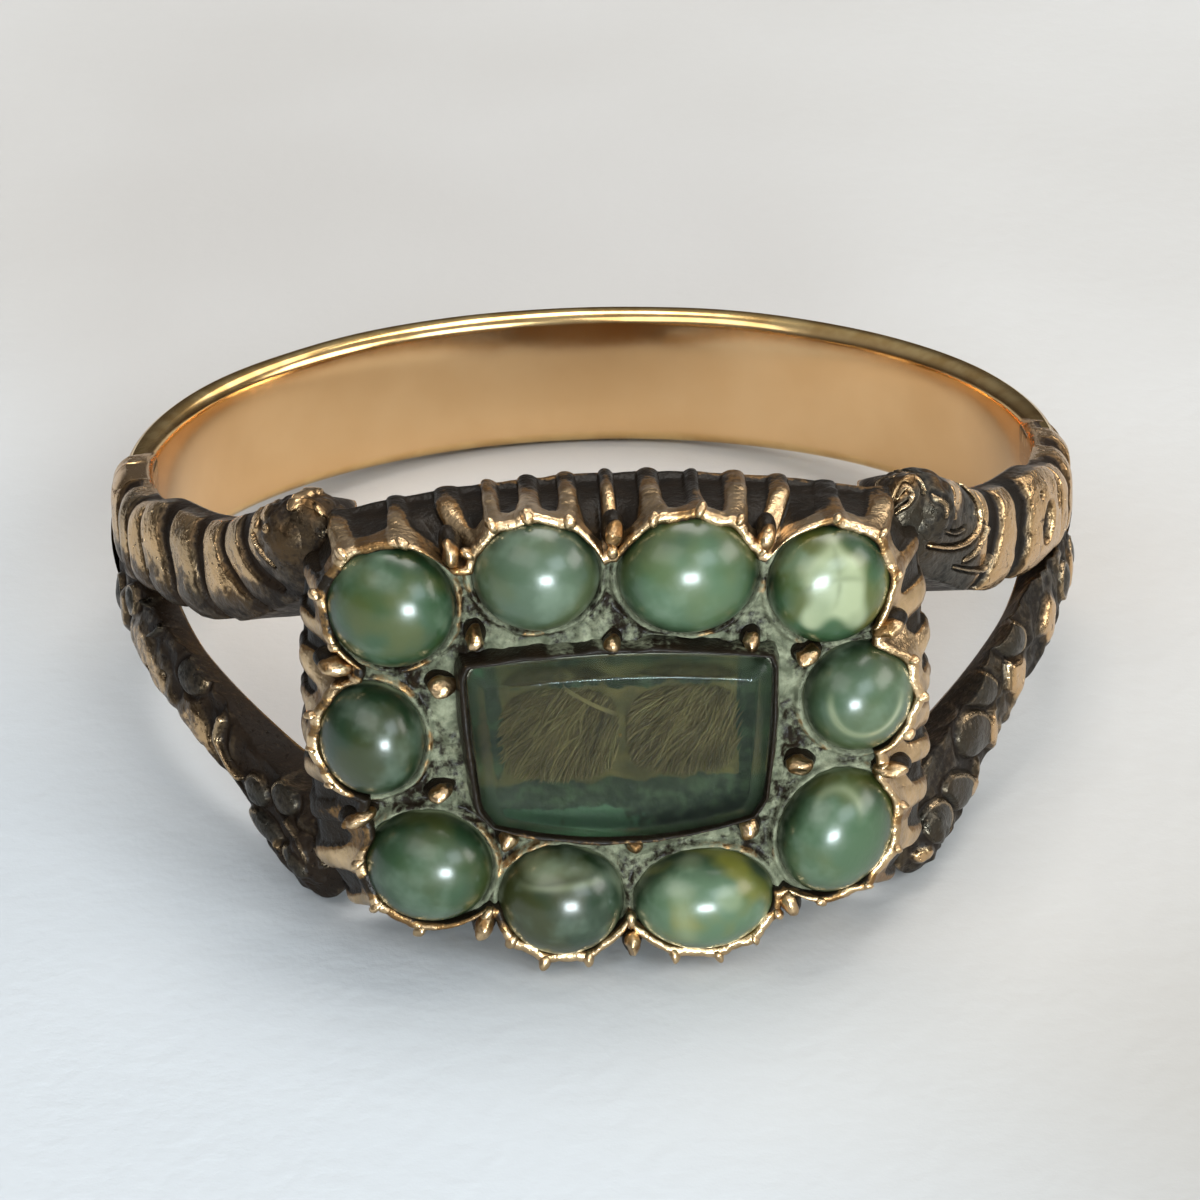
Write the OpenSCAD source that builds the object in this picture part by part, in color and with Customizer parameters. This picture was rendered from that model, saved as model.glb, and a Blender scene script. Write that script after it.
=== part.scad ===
// Finger ring with a glazed hair compartment framed by ten half pearls, on forked, chased shoulders.
// The ring is modelled about its finger axis and then laid on its side, as it rests on a table.
// Ring frame: x to the right, y to the back of the band, z along the finger axis, head at -y.

/* [Band] */
// Diameter of the finger hole
bore_d = 17.2; // [17.1:0.05:17.3]
// Width of the plain band
band_w = 2.95; // [2.8:0.05:3.1]
// Wall of the band along its two edges
band_edge_t = 0.5; // [0.45:0.05:0.6]
// Wall of the band along its middle
band_mid_t = 0.9; // [0.8:0.02:0.9]

/* [Shoulders] */
// Height of the ridges chased on the two upper forks
ridge_t = 0.26; // [0.2:0.02:0.3]
// Angle round the ring from one ridge to the next
ridge_pitch = 6; // [5:0.5:7]
// Height of the leaves chased on the two lower forks
leaf_t = 0.26; // [0.2:0.02:0.3]
// Angle round the ring from one leaf to the next
leaf_pitch = 11; // [10:0.5:12]
// Length of one leaf
leaf_length = 1.7; // [1.4:0.1:1.9]
// Radius of the rounded bud that ends each fork at the head
bud_r = 0.82; // [0.7:0.02:0.86]

/* [Head] */
// Width of the head's side wall, without its ribs
wall_w = 11.1; // [10.9:0.1:11.3]
// Height of the head's side wall, without its ribs
wall_h = 8.24; // [8.1:0.02:8.4]
// Distance from the finger axis to the flat back of the head
head_back = 8.85; // [8.75:0.05:8.95]
// Distance from the finger axis to the middle of the head's face
head_face = 11.2; // [11.1:0.05:11.3]
// Radius of the slightly round face
face_r = 22; // [20:1:26]
// Depth of the scalloped rim round the pearls
rim_t = 0.6; // [0.5:0.05:0.7]
// Metal left round each pearl by the scalloped rim
rim_wall = 0.14; // [0.1:0.01:0.2]
// Number of ribs round the side wall
rib_count = 42; // [38:2:46]
// Diameter of one rib
rib_d = 0.34; // [0.28:0.02:0.38]
// Diameter of the grains that hold the pearls
grain_d = 0.42; // [0.36:0.02:0.46]

/* [Pearls] */
// Depth of the pocket that each half pearl sits in
pocket_t = 0.4; // [0.3:0.05:0.5]
// Height of a half pearl from its flat back to its crown
pearl_t = 1.05; // [0.9:0.05:1.1]
// Gap round each pearl and under it
fit_gap = 0.04; // [0.03:0.01:0.05]

/* [Glazed compartment] */
// Width of the glass, where its sides are furthest apart
glass_w = 5.45; // [5.2:0.05:5.5]
// Height of the glass
glass_h = 3.5; // [3.3:0.05:3.55]
// Thickness of the glass
glass_t = 1.05; // [0.9:0.05:1.1]
// Bevel round the top of the glass
glass_bevel = 0.3; // [0.15:0.01:0.35]
// Wall of the collet round the glass
collet_wall = 0.2; // [0.16:0.02:0.24]
// Height of the collet over the face
collet_t = 0.16; // [0.1:0.02:0.2]
// Thickness of the hair panel under the glass
hair_t = 0.3; // [0.2:0.05:0.4]

/* [Hidden] */
$fn = 64;

// Longer than anything that it cuts through
through = 30;

bore_r = bore_d / 2;
// The band starts inside the finger hole, which then trims it
band_inner_r = bore_r - 0.2;

// One row for each half pearl, clockwise from the top left:
// x, z, width, height, turn of the long axis, distance of the inner grain that follows it
PEARL_X = 0;
PEARL_Z = 1;
PEARL_W = 2;
PEARL_H = 3;
PEARL_TURN = 4;
GRAIN_IN = 5;
PEARLS = [
    [-4.00, 2.50, 2.32, 2.32, 0, 0.86],
    [-1.42, 3.10, 2.26, 2.12, 0, 1.25],
    [1.26, 3.02, 2.50, 2.24, 0, 1.15],
    [3.76, 2.62, 2.22, 2.26, 0, 0.72],
    [4.28, 0.38, 2.04, 2.08, 0, 0.91],
    [3.84, -2.16, 2.10, 2.40, -25, 0.93],
    [1.42, -3.26, 2.54, 1.90, 0, 1.14],
    [-1.14, -3.16, 2.26, 2.10, 0, 0.96],
    [-3.50, -2.50, 2.32, 2.12, 0, 0.78],
    [-4.44, -0.05, 1.96, 2.16, 0, 1.10],
];
pearl_count = len(PEARLS);
// Distance of the outer grains from the line between two pearls
grain_out = 0.78;
// Each grain stands on a short cone that reaches this far down into the head
grain_root = 0.75;
grain_root_d = grain_d + 0.1;
grain_neck_d = grain_d - 0.08;
// Sides of the outline that each pocket and scallop is cut with
pearl_sides = 28;

// Outline of the upper fork seen from the side, one row each:
// distance towards the back, height of the lower edge, height of the upper edge
UPPER_FORK = [
    [0.80, 0.00, 1.52],
    [-0.65, 0.00, 1.54],
    [-2.25, 0.00, 1.62],
    [-3.50, 0.10, 2.05],
    [-4.80, 0.24, 2.20],
    [-5.75, 0.46, 2.45],
    [-6.60, 0.80, 2.90],
    [-7.40, 1.28, 3.35],
    [-8.30, 1.85, 3.80],
    [-9.15, 2.35, 3.95],
];
// The same for the lower fork, which shares the edge between them as far as the split
LOWER_FORK = [
    [0.80, -1.52, 0.00],
    [-0.65, -1.52, 0.00],
    [-2.25, -1.55, 0.00],
    [-3.50, -1.85, -0.42],
    [-4.80, -2.22, -0.90],
    [-5.75, -2.75, -1.35],
    [-6.60, -3.25, -1.85],
    [-7.40, -3.80, -2.15],
    [-8.30, -4.05, -2.30],
    [-9.15, -4.05, -2.50],
];
LOW_EDGE = 1;
HIGH_EDGE = 2;
split_row = 2;
// Steps of the smooth curve drawn from one row to the next
row_steps = 3;

// Outer radius of the forks by the angle from the back of the band
FORK_R = [
    [84, 9.26],
    [122, 9.26],
    [128, 9.34],
    [134, 9.52],
    [140, 9.84],
    [146, 10.24],
    [152, 10.44],
];
fork_start = 84;
fork_end = 152;
// Inside the ring the forks end sooner, so that they stop square to the head
fork_inner_end = 144.5;
fork_angle_step = 4;
fork_inner_r = bore_r - 0.3;
// Radius at which the middle lines of the forks are measured
fork_mean_r = 9.3;

// The chased ridges: angle of the first and number, with the same for the leaves
first_ridge = 96;
ridge_count = 8;
first_leaf = 97;
leaf_count = 5;
ridge_axis_r = 9.06;
ridge_end_r = 0.28;
leaf_axis_r = 8.85;
leaf_end_r = 0.2;
// The ridges stop this far inside the edges of the fork
ridge_setback = 0.03;

// The band ends inside the forks at this angle from the back
band_end = 92;

// The buds at the ends of the forks: angle from the back, height, radius from the finger axis
UPPER_BUD = [146.5, 3.0, 9.86];
LOWER_BUD = [146.5, -3.25, 9.86];

// Radii of the head's long and short sides, and of the circle that rounds its corners
wall_bow_r = 23;
wall_side_bow_r = 30;
wall_corner_r = 6.05;
// The arcs that bound the head's side wall, one row each: x and height of the centre, radius
WALL_ARCS = [
    [0, wall_h / 2 - wall_bow_r, wall_bow_r],
    [0, wall_bow_r - wall_h / 2, wall_bow_r],
    [wall_w / 2 - wall_side_bow_r, 0, wall_side_bow_r],
    [wall_side_bow_r - wall_w / 2, 0, wall_side_bow_r],
    [0, 0, wall_corner_r],
];
// Turn that spaces the ribs evenly along the long walls, and how far under the face they end
rib_shift = 4;
rib_drop = 0.18;
// How far the scalloped rim and the collet reach down into the head
rim_root = 0.6;
collet_root = 1.8;
// Solid middle of the rim, under the inner edges of the pearls
rim_middle = [8.4, 5.6];

// The same for the glass, whose lower side bows more and whose short sides draw together downwards
glass_z = -0.12;
glass_top_bow_r = 20;
glass_low_bow_r = 8;
glass_side_bow_r = 30;
glass_side_rise = 2.6;
glass_corner_r = 2.88;
glass_corner_rise = 0.35;
GLASS_ARCS = [
    [0, glass_h / 2 - glass_top_bow_r, glass_top_bow_r],
    [0, glass_low_bow_r - glass_h / 2, glass_low_bow_r],
    [glass_w / 2 - glass_side_bow_r, glass_side_rise, glass_side_bow_r],
    [glass_side_bow_r - glass_w / 2, glass_side_rise, glass_side_bow_r],
    [0, glass_corner_rise, glass_corner_r],
];
// How far the glass stands over the middle of the face
glass_stand = 0.34;
glass_top = head_face + glass_stand;
glass_back = glass_top - glass_t;
hair_gap = 0.04;
hair_back = glass_back - hair_gap - hair_t;

// The ring rests on the lower edge of the head's back and on the band's lower edge
foot_front_y = head_back;
foot_front_z = wall_h / 2 + rib_d / 2;
foot_back_y = bore_r + band_edge_t;
foot_back_z = band_w / 2;
rest_tilt = atan((foot_front_z - foot_back_z) / (foot_front_y + foot_back_y));
// How far the finger axis then stands over the surface, measured across the tilted ring
rest_rise = foot_back_z * cos(rest_tilt) + foot_back_y * sin(rest_tilt);
// Brings the middle of the ring's length over the origin: the lowest pearl reaches furthest forward
low_pearl = PEARLS[6];
pearl_crown = head_face - pocket_t + fit_gap + pearl_t;
front_reach = pearl_crown * cos(rest_tilt) - low_pearl[PEARL_Z] * sin(rest_tilt);
back_reach = (bore_r + band_mid_t) * cos(rest_tilt);
rest_shift = (front_reach - back_reach) / 2;

// Value of one column of a table at a given place in its first column
function column_at(table, column, place) = lookup(place, [for (row = table) [row[0], row[column]]]);

// Smooth curve through four neighbouring values, from the second to the third
function curve(a, b, c, d, t) =
    0.5 * (2 * b + (c - a) * t + (2 * a - 5 * b + 4 * c - d) * t * t + (3 * b - a - 3 * c + d) * t * t * t);

// One edge of a fork as points of depth and height, between two rows of its table
function fork_edge(table, column, from, to) =
    concat(
        [for (i = [from : to - 1], k = [0 : row_steps - 1])
            let (t = k / row_steps)
            let (rows = [for (j = [i - 1 : i + 2]) table[min(len(table) - 1, max(0, j))]])
            [curve(rows[0][0], rows[1][0], rows[2][0], rows[3][0], t),
                curve(rows[0][column], rows[1][column], rows[2][column], rows[3][column], t)]],
        [[table[to][0], table[to][column]]]
    );
function reversed(list) = [for (i = [len(list) - 1 : -1 : 0]) list[i]];
function without_last(list) = [for (i = [0 : len(list) - 2]) list[i]];

// Both forks seen from the side
module fork_side() {
    last = len(UPPER_FORK) - 1;
    polygon(concat(
        fork_edge(LOWER_FORK, LOW_EDGE, 0, last),
        without_last(reversed(fork_edge(LOWER_FORK, HIGH_EDGE, split_row, last))),
        fork_edge(UPPER_FORK, LOW_EDGE, split_row, last),
        reversed(fork_edge(UPPER_FORK, HIGH_EDGE, 0, last))
    ));
}

// Both forks seen along the finger axis
module fork_plan() {
    outer = [for (angle = [fork_start : fork_angle_step : fork_end])
        lookup(angle, FORK_R) * [sin(angle), cos(angle)]];
    inner = [for (angle = [fork_inner_end : -fork_angle_step : fork_start])
        fork_inner_r * [sin(angle), cos(angle)]];
    polygon(concat(outer, inner));
}

module forks() {
    intersection() {
        linear_extrude(through, center = true)
            fork_plan();
        rotate([90, 0, 90])
            linear_extrude(through)
                fork_side();
    }
}

// A ridge swelling from both ends to its middle, standing on its end
module spindle(middle_r, end_r, half_length) {
    rise = middle_r - end_r;
    profile_r = (half_length * half_length + rise * rise) / (2 * rise);
    rotate_extrude()
        intersection() {
            translate([middle_r - profile_r, 0])
                circle(profile_r, $fn = 180);
            translate([0, -half_length])
                square([2 * middle_r, 2 * half_length]);
        }
}

// Height of a fork's middle line, its width and its slope towards the head
function fork_middle(table, angle) =
    let (depth = fork_mean_r * cos(angle))
    (column_at(table, LOW_EDGE, depth) + column_at(table, HIGH_EDGE, depth)) / 2;
function fork_width(table, angle) =
    let (depth = fork_mean_r * cos(angle))
    column_at(table, HIGH_EDGE, depth) - column_at(table, LOW_EDGE, depth);
function fork_slope(table, angle) =
    let (side = 3)
    let (rise = fork_middle(table, angle + side) - fork_middle(table, angle - side))
    atan(rise / (fork_mean_r * 2 * side * PI / 180));

// Places a ridge on a fork, square to the fork or along it
module on_fork(table, angle, axis_r, turn) {
    extra = lookup(angle, FORK_R) - lookup(fork_start, FORK_R);
    rotate([0, 0, -angle])
        translate([0, axis_r + extra, fork_middle(table, angle)])
            rotate([0, turn, 0])
                children();
}

// Ridges across the upper fork
module ridges() {
    for (i = [0 : ridge_count - 1]) {
        angle = first_ridge + i * ridge_pitch;
        slope = fork_slope(UPPER_FORK, angle);
        on_fork(UPPER_FORK, angle, ridge_axis_r, -slope)
            spindle(lookup(fork_start, FORK_R) + ridge_t - ridge_axis_r, ridge_end_r,
                fork_width(UPPER_FORK, angle) * cos(slope) / 2 - ridge_setback);
    }
}

// Leaves along the lower fork
module leaves() {
    for (i = [0 : leaf_count - 1]) {
        angle = first_leaf + i * leaf_pitch;
        slope = fork_slope(LOWER_FORK, angle);
        on_fork(LOWER_FORK, angle, leaf_axis_r, 90 - slope)
            spindle(lookup(fork_start, FORK_R) + leaf_t - leaf_axis_r, leaf_end_r, leaf_length / 2);
    }
}

module bud(place) {
    translate([place[2] * sin(place[0]), place[2] * cos(place[0]), place[1]])
        sphere(bud_r);
}

module shoulder() {
    forks();
    ridges();
    leaves();
    bud(UPPER_BUD);
    bud(LOWER_BUD);
}

// Band with a flat inside and a rounded outside
module band() {
    rise = band_mid_t - band_edge_t;
    crown_r = (pow(band_w / 2, 2) + rise * rise) / (2 * rise);
    rotate([0, 0, 90 - band_end])
        rotate_extrude(angle = 2 * band_end, $fn = 180)
            intersection() {
                translate([band_inner_r, -band_w / 2])
                    square([2 * band_mid_t, band_w]);
                translate([bore_r + band_mid_t - crown_r, 0])
                    circle(crown_r);
            }
}

// The outline that a table of arcs bounds, grown by the same amount all round
module outline(arcs, grow = 0) {
    intersection_for(arc = arcs)
        translate([arc[0], arc[1]])
            circle(arc[2] + grow, $fn = 360);
}

module oval(w, h) {
    polygon([for (i = [0 : pearl_sides - 1])
        let (turn = 360 * (i + 0.5) / pearl_sides)
        [w / 2 * cos(turn), h / 2 * sin(turn)]]);
}

// The head's own frame: x to the right, y up the finger axis, z out of the face
module head_frame() {
    rotate([90, 0, 0])
        children();
}

// Height of the round face over the finger axis
function face_at(x) = head_face - face_r + sqrt(face_r * face_r - x * x);

// Puts a piece on the face, standing square to it
module on_face(x, y) {
    translate([x, y, face_at(x)])
        rotate([0, asin(x / face_r), 0])
            children();
}

module at_pearl(row) {
    on_face(row[PEARL_X], row[PEARL_Z])
        rotate([0, 0, row[PEARL_TURN]])
            children();
}

// Everything under the round face
module face_limit() {
    translate([0, 0, head_face - face_r])
        rotate([90, 0, 0])
            cylinder(r = face_r, h = 2 * wall_h, center = true, $fn = 180);
}

// Distance from the middle of the head to an arc, and to its side wall, at a given angle
function arc_reach(arc, turn) =
    let (along = arc[0] * cos(turn) + arc[1] * sin(turn))
    along + sqrt(along * along - arc[0] * arc[0] - arc[1] * arc[1] + arc[2] * arc[2]);
function wall_reach(turn) = min([for (arc = WALL_ARCS) arc_reach(arc, turn)]);

// Ribs at nearly even steps round the wall
module ribs() {
    for (i = [0 : rib_count - 1]) {
        t = 360 * (i + 0.5) / rib_count;
        turn = t - rib_shift * sin(2 * t);
        x = wall_reach(turn) * cos(turn);
        y = wall_reach(turn) * sin(turn);
        translate([x, y, head_back])
            cylinder(d = rib_d, h = face_at(x) - head_back - rib_drop, $fn = 24);
    }
}

// Side wall, floor and scalloped rim, before the pockets are cut
module head_block() {
    intersection() {
        union() {
            translate([0, 0, head_back])
                linear_extrude(head_face - rim_t - head_back)
                    outline(WALL_ARCS);
            translate([0, 0, head_face - rim_t - rim_root])
                linear_extrude(2 * rim_t + rim_root)
                    rim_outline();
        }
        face_limit();
    }
}

module rim_outline() {
    for (row = PEARLS)
        translate([row[PEARL_X], row[PEARL_Z]])
            rotate(row[PEARL_TURN])
                oval(row[PEARL_W] + 2 * rim_wall, row[PEARL_H] + 2 * rim_wall);
    square(rim_middle, center = true);
}

module collet() {
    translate([0, glass_z, head_face - collet_root])
        linear_extrude(collet_root + collet_t)
            outline(GLASS_ARCS, collet_wall);
}

// One grain inside and one outside each gap between two pearls
module grains() {
    for (i = [0 : pearl_count - 1]) {
        a = PEARLS[i];
        b = PEARLS[(i + 1) % pearl_count];
        step = [b[PEARL_X] - a[PEARL_X], b[PEARL_Z] - a[PEARL_Z]];
        outward = [-step[1], step[0]] / norm(step);
        middle = [a[PEARL_X] + b[PEARL_X], a[PEARL_Z] + b[PEARL_Z]] / 2;
        for (reach = [grain_out, -a[GRAIN_IN]]) {
            place = middle + reach * outward;
            on_face(place[0], place[1]) {
                sphere(d = grain_d, $fn = 24);
                translate([0, 0, -grain_root])
                    cylinder(d1 = grain_root_d, d2 = grain_neck_d, h = grain_root, $fn = 24);
            }
        }
    }
}

module pearl_pockets() {
    for (row = PEARLS)
        at_pearl(row)
            translate([0, 0, -pocket_t])
                linear_extrude(2 * pocket_t)
                    oval(row[PEARL_W] + 2 * fit_gap, row[PEARL_H] + 2 * fit_gap);
}

module compartment() {
    translate([0, glass_z, hair_back - fit_gap])
        linear_extrude(through)
            outline(GLASS_ARCS, fit_gap);
}

module head() {
    head_frame()
        difference() {
            union() {
                head_block();
                ribs();
                collet();
                grains();
            }
            pearl_pockets();
            compartment();
        }
}

// Lays the ring on its side as it rests
module at_rest() {
    translate([0, rest_shift, rest_rise])
        rotate([-rest_tilt, 0, 0])
            children();
}

module gold_ring() {
    color("darkgoldenrod")
        at_rest()
            difference() {
                union() {
                    band();
                    shoulder();
                    mirror([1, 0, 0])
                        shoulder();
                    head();
                }
                cylinder(r = bore_r, h = through, center = true, $fn = 180);
            }
}

// A domed half pearl with a flat back
module half_pearl(row) {
    color("darkseagreen")
        at_rest()
            head_frame()
                at_pearl(row)
                    translate([0, 0, fit_gap - pocket_t])
                        intersection() {
                            scale([row[PEARL_W] / 2, row[PEARL_H] / 2, pearl_t])
                                sphere(1);
                            translate([0, 0, through / 2])
                                cube(through, center = true);
                        }
}

// Flat-topped glass, bevelled all round
module glass_cover() {
    color("darkslategray")
        at_rest()
            head_frame()
                translate([0, glass_z, glass_back])
                    intersection_for(arc = GLASS_ARCS)
                        translate([arc[0], arc[1], 0])
                            bevelled_disc(arc[2]);
}

// A round disc of glass with its top edge bevelled
module bevelled_disc(r) {
    $fn = 360;
    cylinder(r = r, h = glass_t - glass_bevel);
    translate([0, 0, glass_t - glass_bevel])
        cylinder(r1 = r, r2 = r - glass_bevel, h = glass_bevel);
}

// Bed of woven hair under the glass
module hair_panel() {
    color("dimgray")
        at_rest()
            head_frame()
                translate([0, glass_z, hair_back])
                    linear_extrude(hair_t)
                        outline(GLASS_ARCS);
}

gold_ring();
half_pearl(PEARLS[0]);  // pearl_01
half_pearl(PEARLS[1]);  // pearl_02
half_pearl(PEARLS[2]);  // pearl_03
half_pearl(PEARLS[3]);  // pearl_04
half_pearl(PEARLS[4]);  // pearl_05
half_pearl(PEARLS[5]);  // pearl_06
half_pearl(PEARLS[6]);  // pearl_07
half_pearl(PEARLS[7]);  // pearl_08
half_pearl(PEARLS[8]);  // pearl_09
half_pearl(PEARLS[9]);  // pearl_10
glass_cover();
hair_panel();
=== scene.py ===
"""A sweetheart ring on its side: a gold band with forked, chased shoulders, and a head of ten green-stained
half pearls round a glazed compartment of hair.

Everything is laid out in the ring's own frame in millimetres: x to the right, y to the back of the band, z
along the finger axis, and the head at -y. The head is drawn as (x, z, depth), with depth counted from the
finger axis towards the front. to_row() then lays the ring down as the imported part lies, in metres.
"""

import itertools
import math

import bpy
import numpy as np
from mathutils import Matrix, Vector


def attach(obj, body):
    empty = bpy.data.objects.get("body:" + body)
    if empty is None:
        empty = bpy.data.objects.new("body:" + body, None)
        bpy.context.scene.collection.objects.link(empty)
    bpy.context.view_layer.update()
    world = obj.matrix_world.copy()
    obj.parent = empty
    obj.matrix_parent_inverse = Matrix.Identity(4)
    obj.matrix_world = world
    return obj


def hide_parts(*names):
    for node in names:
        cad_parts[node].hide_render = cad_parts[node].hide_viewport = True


# Sizes in millimetres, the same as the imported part's
BORE_R = 8.6
BAND_W = 2.95
BAND_EDGE_T = 0.5
BAND_MID_T = 0.9
WALL_H = 8.24
HEAD_BACK = 8.85
HEAD_FACE = 11.2
FACE_R = 22.0
RIB_D = 0.34
RIB_COUNT = 42
POCKET_T = 0.4
PEARL_T = 1.05
RIM_WALL = 0.14
GLASS_T = 1.05
GLASS_BEVEL = 0.3
GLASS_Z = -0.12
GLASS_TOP = HEAD_FACE + 0.34
GLASS_BACK = GLASS_TOP - GLASS_T
COLLET_T = 0.16
COLLET_WALL = 0.2
GRAIN_OUT = 0.78
# What a pearl keeps from its pocket
GAP = 0.04
# Only here: depth of the plate under the face, of the card under the glass, and of the chasing on the forks
PLATE_DOWN = 0.36
CARD_DOWN = 0.16
CHASE_T = 0.26

# Arcs that bound the head's side wall and the glass, about the middle of each: x and z of the centre, radius
WALL_ARCS = [(0, -18.88, 23), (0, 18.88, 23), (-24.45, 0, 30), (24.45, 0, 30), (0, 0, 6.05)]
GLASS_ARCS = [(0, -18.25, 20), (0, 6.25, 8), (-27.275, 2.6, 30), (27.275, 2.6, 30), (0, 0.35, 2.88)]
# How far the glass reaches from its middle to each side, to the top and to the foot
GLASS_SIDE, GLASS_HEAD, GLASS_FOOT = 2.72, 1.75, 1.85
# The two lobes of hair, about the middle of the glass: x and z of the middle, half width, half height
HAIR_LOBES = [(-1.10, 0.06, 1.05, 0.86), (1.14, 0.08, 1.00, 0.82)]

# Each half pearl: x, z, width, height, turn of its long axis in degrees, distance of the grain inside it
PEARLS = [
    (-4.00, 2.50, 2.32, 2.32, 0, 0.86),
    (-1.42, 3.10, 2.26, 2.12, 0, 1.25),
    (1.26, 3.02, 2.50, 2.24, 0, 1.15),
    (3.76, 2.62, 2.22, 2.26, 0, 0.72),
    (4.28, 0.38, 2.04, 2.08, 0, 0.91),
    (3.84, -2.16, 2.10, 2.40, -25, 0.93),
    (1.42, -3.26, 2.54, 1.90, 0, 1.14),
    (-1.14, -3.16, 2.26, 2.10, 0, 0.96),
    (-3.50, -2.50, 2.32, 2.12, 0, 0.78),
    (-4.44, -0.05, 1.96, 2.16, 0, 1.10),
]
# How each pearl is stained: share of mist over the sea green, share of olive, lightness, cloudiness
PEARL_LOOKS = [
    (0.20, 0.55, 0.85, 0.7),
    (0.80, 0.25, 1.00, 0.7),
    (0.50, 0.25, 1.30, 0.7),
    (0.15, 0.60, 1.05, 0.7),
    (0.60, 0.20, 1.00, 0.6),
    (0.45, 0.40, 1.10, 0.9),
    (0.60, 0.95, 1.40, 0.9),
    (0.25, 0.65, 0.38, 0.9),
    (0.25, 0.30, 0.75, 0.7),
    (0.15, 0.50, 0.42, 0.7),
]
# Colours of the stained nacre: the body, the cloud over it, the spots, and the painted shade at the foot
SEA, MIST = (0.016, 0.052, 0.015), (0.062, 0.084, 0.054)
OLIVE, FOOT_SHADE = (0.080, 0.074, 0.012), (0.004, 0.011, 0.003)

# Edges of the forks seen from the side: distance towards the back, then the heights of the lower and the
# upper edge, first of the upper fork and then of the lower one
FORKS = [
    (0.80, 0.00, 1.52, -1.52, 0.00),
    (-0.65, 0.00, 1.54, -1.52, 0.00),
    (-2.25, 0.00, 1.62, -1.55, 0.00),
    (-3.50, 0.10, 2.05, -1.85, -0.42),
    (-4.80, 0.24, 2.20, -2.22, -0.90),
    (-5.75, 0.46, 2.45, -2.75, -1.35),
    (-6.60, 0.80, 2.90, -3.25, -1.85),
    (-7.40, 1.28, 3.35, -3.80, -2.15),
    (-8.30, 1.85, 3.80, -4.05, -2.30),
    (-9.15, 2.35, 3.95, -4.05, -2.50),
]
# Radius of the forks' outer faces, by angle from the back of the band
FORK_ANGLES = (84, 122, 128, 134, 140, 146, 152)
FORK_RADII = (9.26, 9.26, 9.34, 9.52, 9.84, 10.24, 10.44)
FORK_START = 84
FORK_END = 151
# How far the outer edge of a lower fork's top stands over the middle of it, by side
LOWER_LIFT = {-1: 0.22, 1: 0.55}
# Angle from the back of the band, height and radius of the middle of each bud
UPPER_BUD = (146.5, 3.0, 9.86)
LOWER_BUD = (146.5, -3.25, 9.86)
BUD_SIZE = 0.80
# Surface distances along a fork are measured at this radius, from the side of the ring
RELIEF_R = 9.5

# How the ring lies: on the lower edge of the head's back and on the band's lower edge
REST_TILT = math.atan((WALL_H / 2 + RIB_D / 2 - BAND_W / 2) / (HEAD_BACK + BORE_R + BAND_EDGE_T))
REST_RISE = BAND_W / 2 * math.cos(REST_TILT) + (BORE_R + BAND_EDGE_T) * math.sin(REST_TILT)
PEARL_CROWN = HEAD_FACE - POCKET_T + GAP + PEARL_T
REST_SHIFT = (
    PEARL_CROWN * math.cos(REST_TILT)
    - PEARLS[6][1] * math.sin(REST_TILT)
    - (BORE_R + BAND_MID_T) * math.cos(REST_TILT)
) / 2

# Faces are turned to look away from this point inside the head
HEAD_MIDDLE = np.array([0.0, -10.0, 0.0])

# The camera, found by fitting the photograph: angles in degrees, distances in millimetres in the ring frame
CAMERA_ELEVATION = 21.3
CAMERA_AZIMUTH = -2.06
CAMERA_ROLL = -1.54
CAMERA_DISTANCE = 100.0
CAMERA_SIDE, CAMERA_RISE = 0.13, -1.59
CAMERA_LENS = 151.95


# ---- numbers and meshes


def to_row(points):
    """Points of the ring frame, in millimetres, in the row frame, in metres."""
    p = np.asarray(points, float)
    c, s = math.cos(REST_TILT), math.sin(REST_TILT)
    y = p[..., 1] * c + p[..., 2] * s + REST_SHIFT
    z = -p[..., 1] * s + p[..., 2] * c + REST_RISE
    return np.stack([p[..., 0], y, z], -1) * 0.001


def head_points(x, z, depth):
    """Points of the head, given across, up the finger axis and out of the face."""
    x, z, depth = np.broadcast_arrays(x, z, depth)
    return np.stack([x, -depth, z], -1)


def face_at(x):
    """Distance of the slightly round face from the finger axis."""
    return HEAD_FACE - FACE_R + np.sqrt(FACE_R**2 - np.asarray(x) ** 2)


def noise(points, size, seed):
    """Smooth noise from -1 to 1, whose lumps are about size across."""
    p = np.asarray(points, float) / size + 17.31 * seed + 100.0
    cell = np.floor(p).astype(np.int64)
    f = p - cell
    f = f * f * (3 - 2 * f)
    total = np.zeros(p.shape[:-1])
    for corner in itertools.product((0, 1), repeat=3):
        c = cell + np.array(corner)
        # a value per corner of the cell, from a spatial hash
        h = (c[..., 0] * 73856093) ^ (c[..., 1] * 19349663) ^ (c[..., 2] * 83492791)
        h = ((h & 0xFFFFFF) * 2654435 + 1013904223) & 0xFFFFFF
        h = (h ^ (h >> 11)) * 48271 & 0xFFFFFF
        weight = np.prod(np.where(np.array(corner), f, 1 - f), axis=-1)
        total += weight * (h / 0x7FFFFF - 1)
    return total


def step(low, high, value):
    """Smooth step from 0 at low to 1 at high."""
    t = np.clip((np.asarray(value, float) - low) / (high - low), 0, 1)
    return t * t * (3 - 2 * t)


def bell(value, width):
    """1 where value is 0, falling off smoothly to both sides."""
    return np.exp(-((value / width) ** 2))


def most(first, *others):
    """The highest of several arrays, place by place."""
    for other in others:
        first = np.maximum(first, other)
    return first


def circle(count):
    """Evenly spaced directions all round, in radians."""
    return 2 * np.pi * np.arange(count) / count


def spin(reach, turn):
    """Across and up, for a distance and a direction from the middle."""
    return reach * np.cos(turn), reach * np.sin(turn)


def cos_sin(degrees):
    """Cosine and sine of an angle in degrees."""
    return math.cos(math.radians(degrees)), math.sin(math.radians(degrees))


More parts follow.
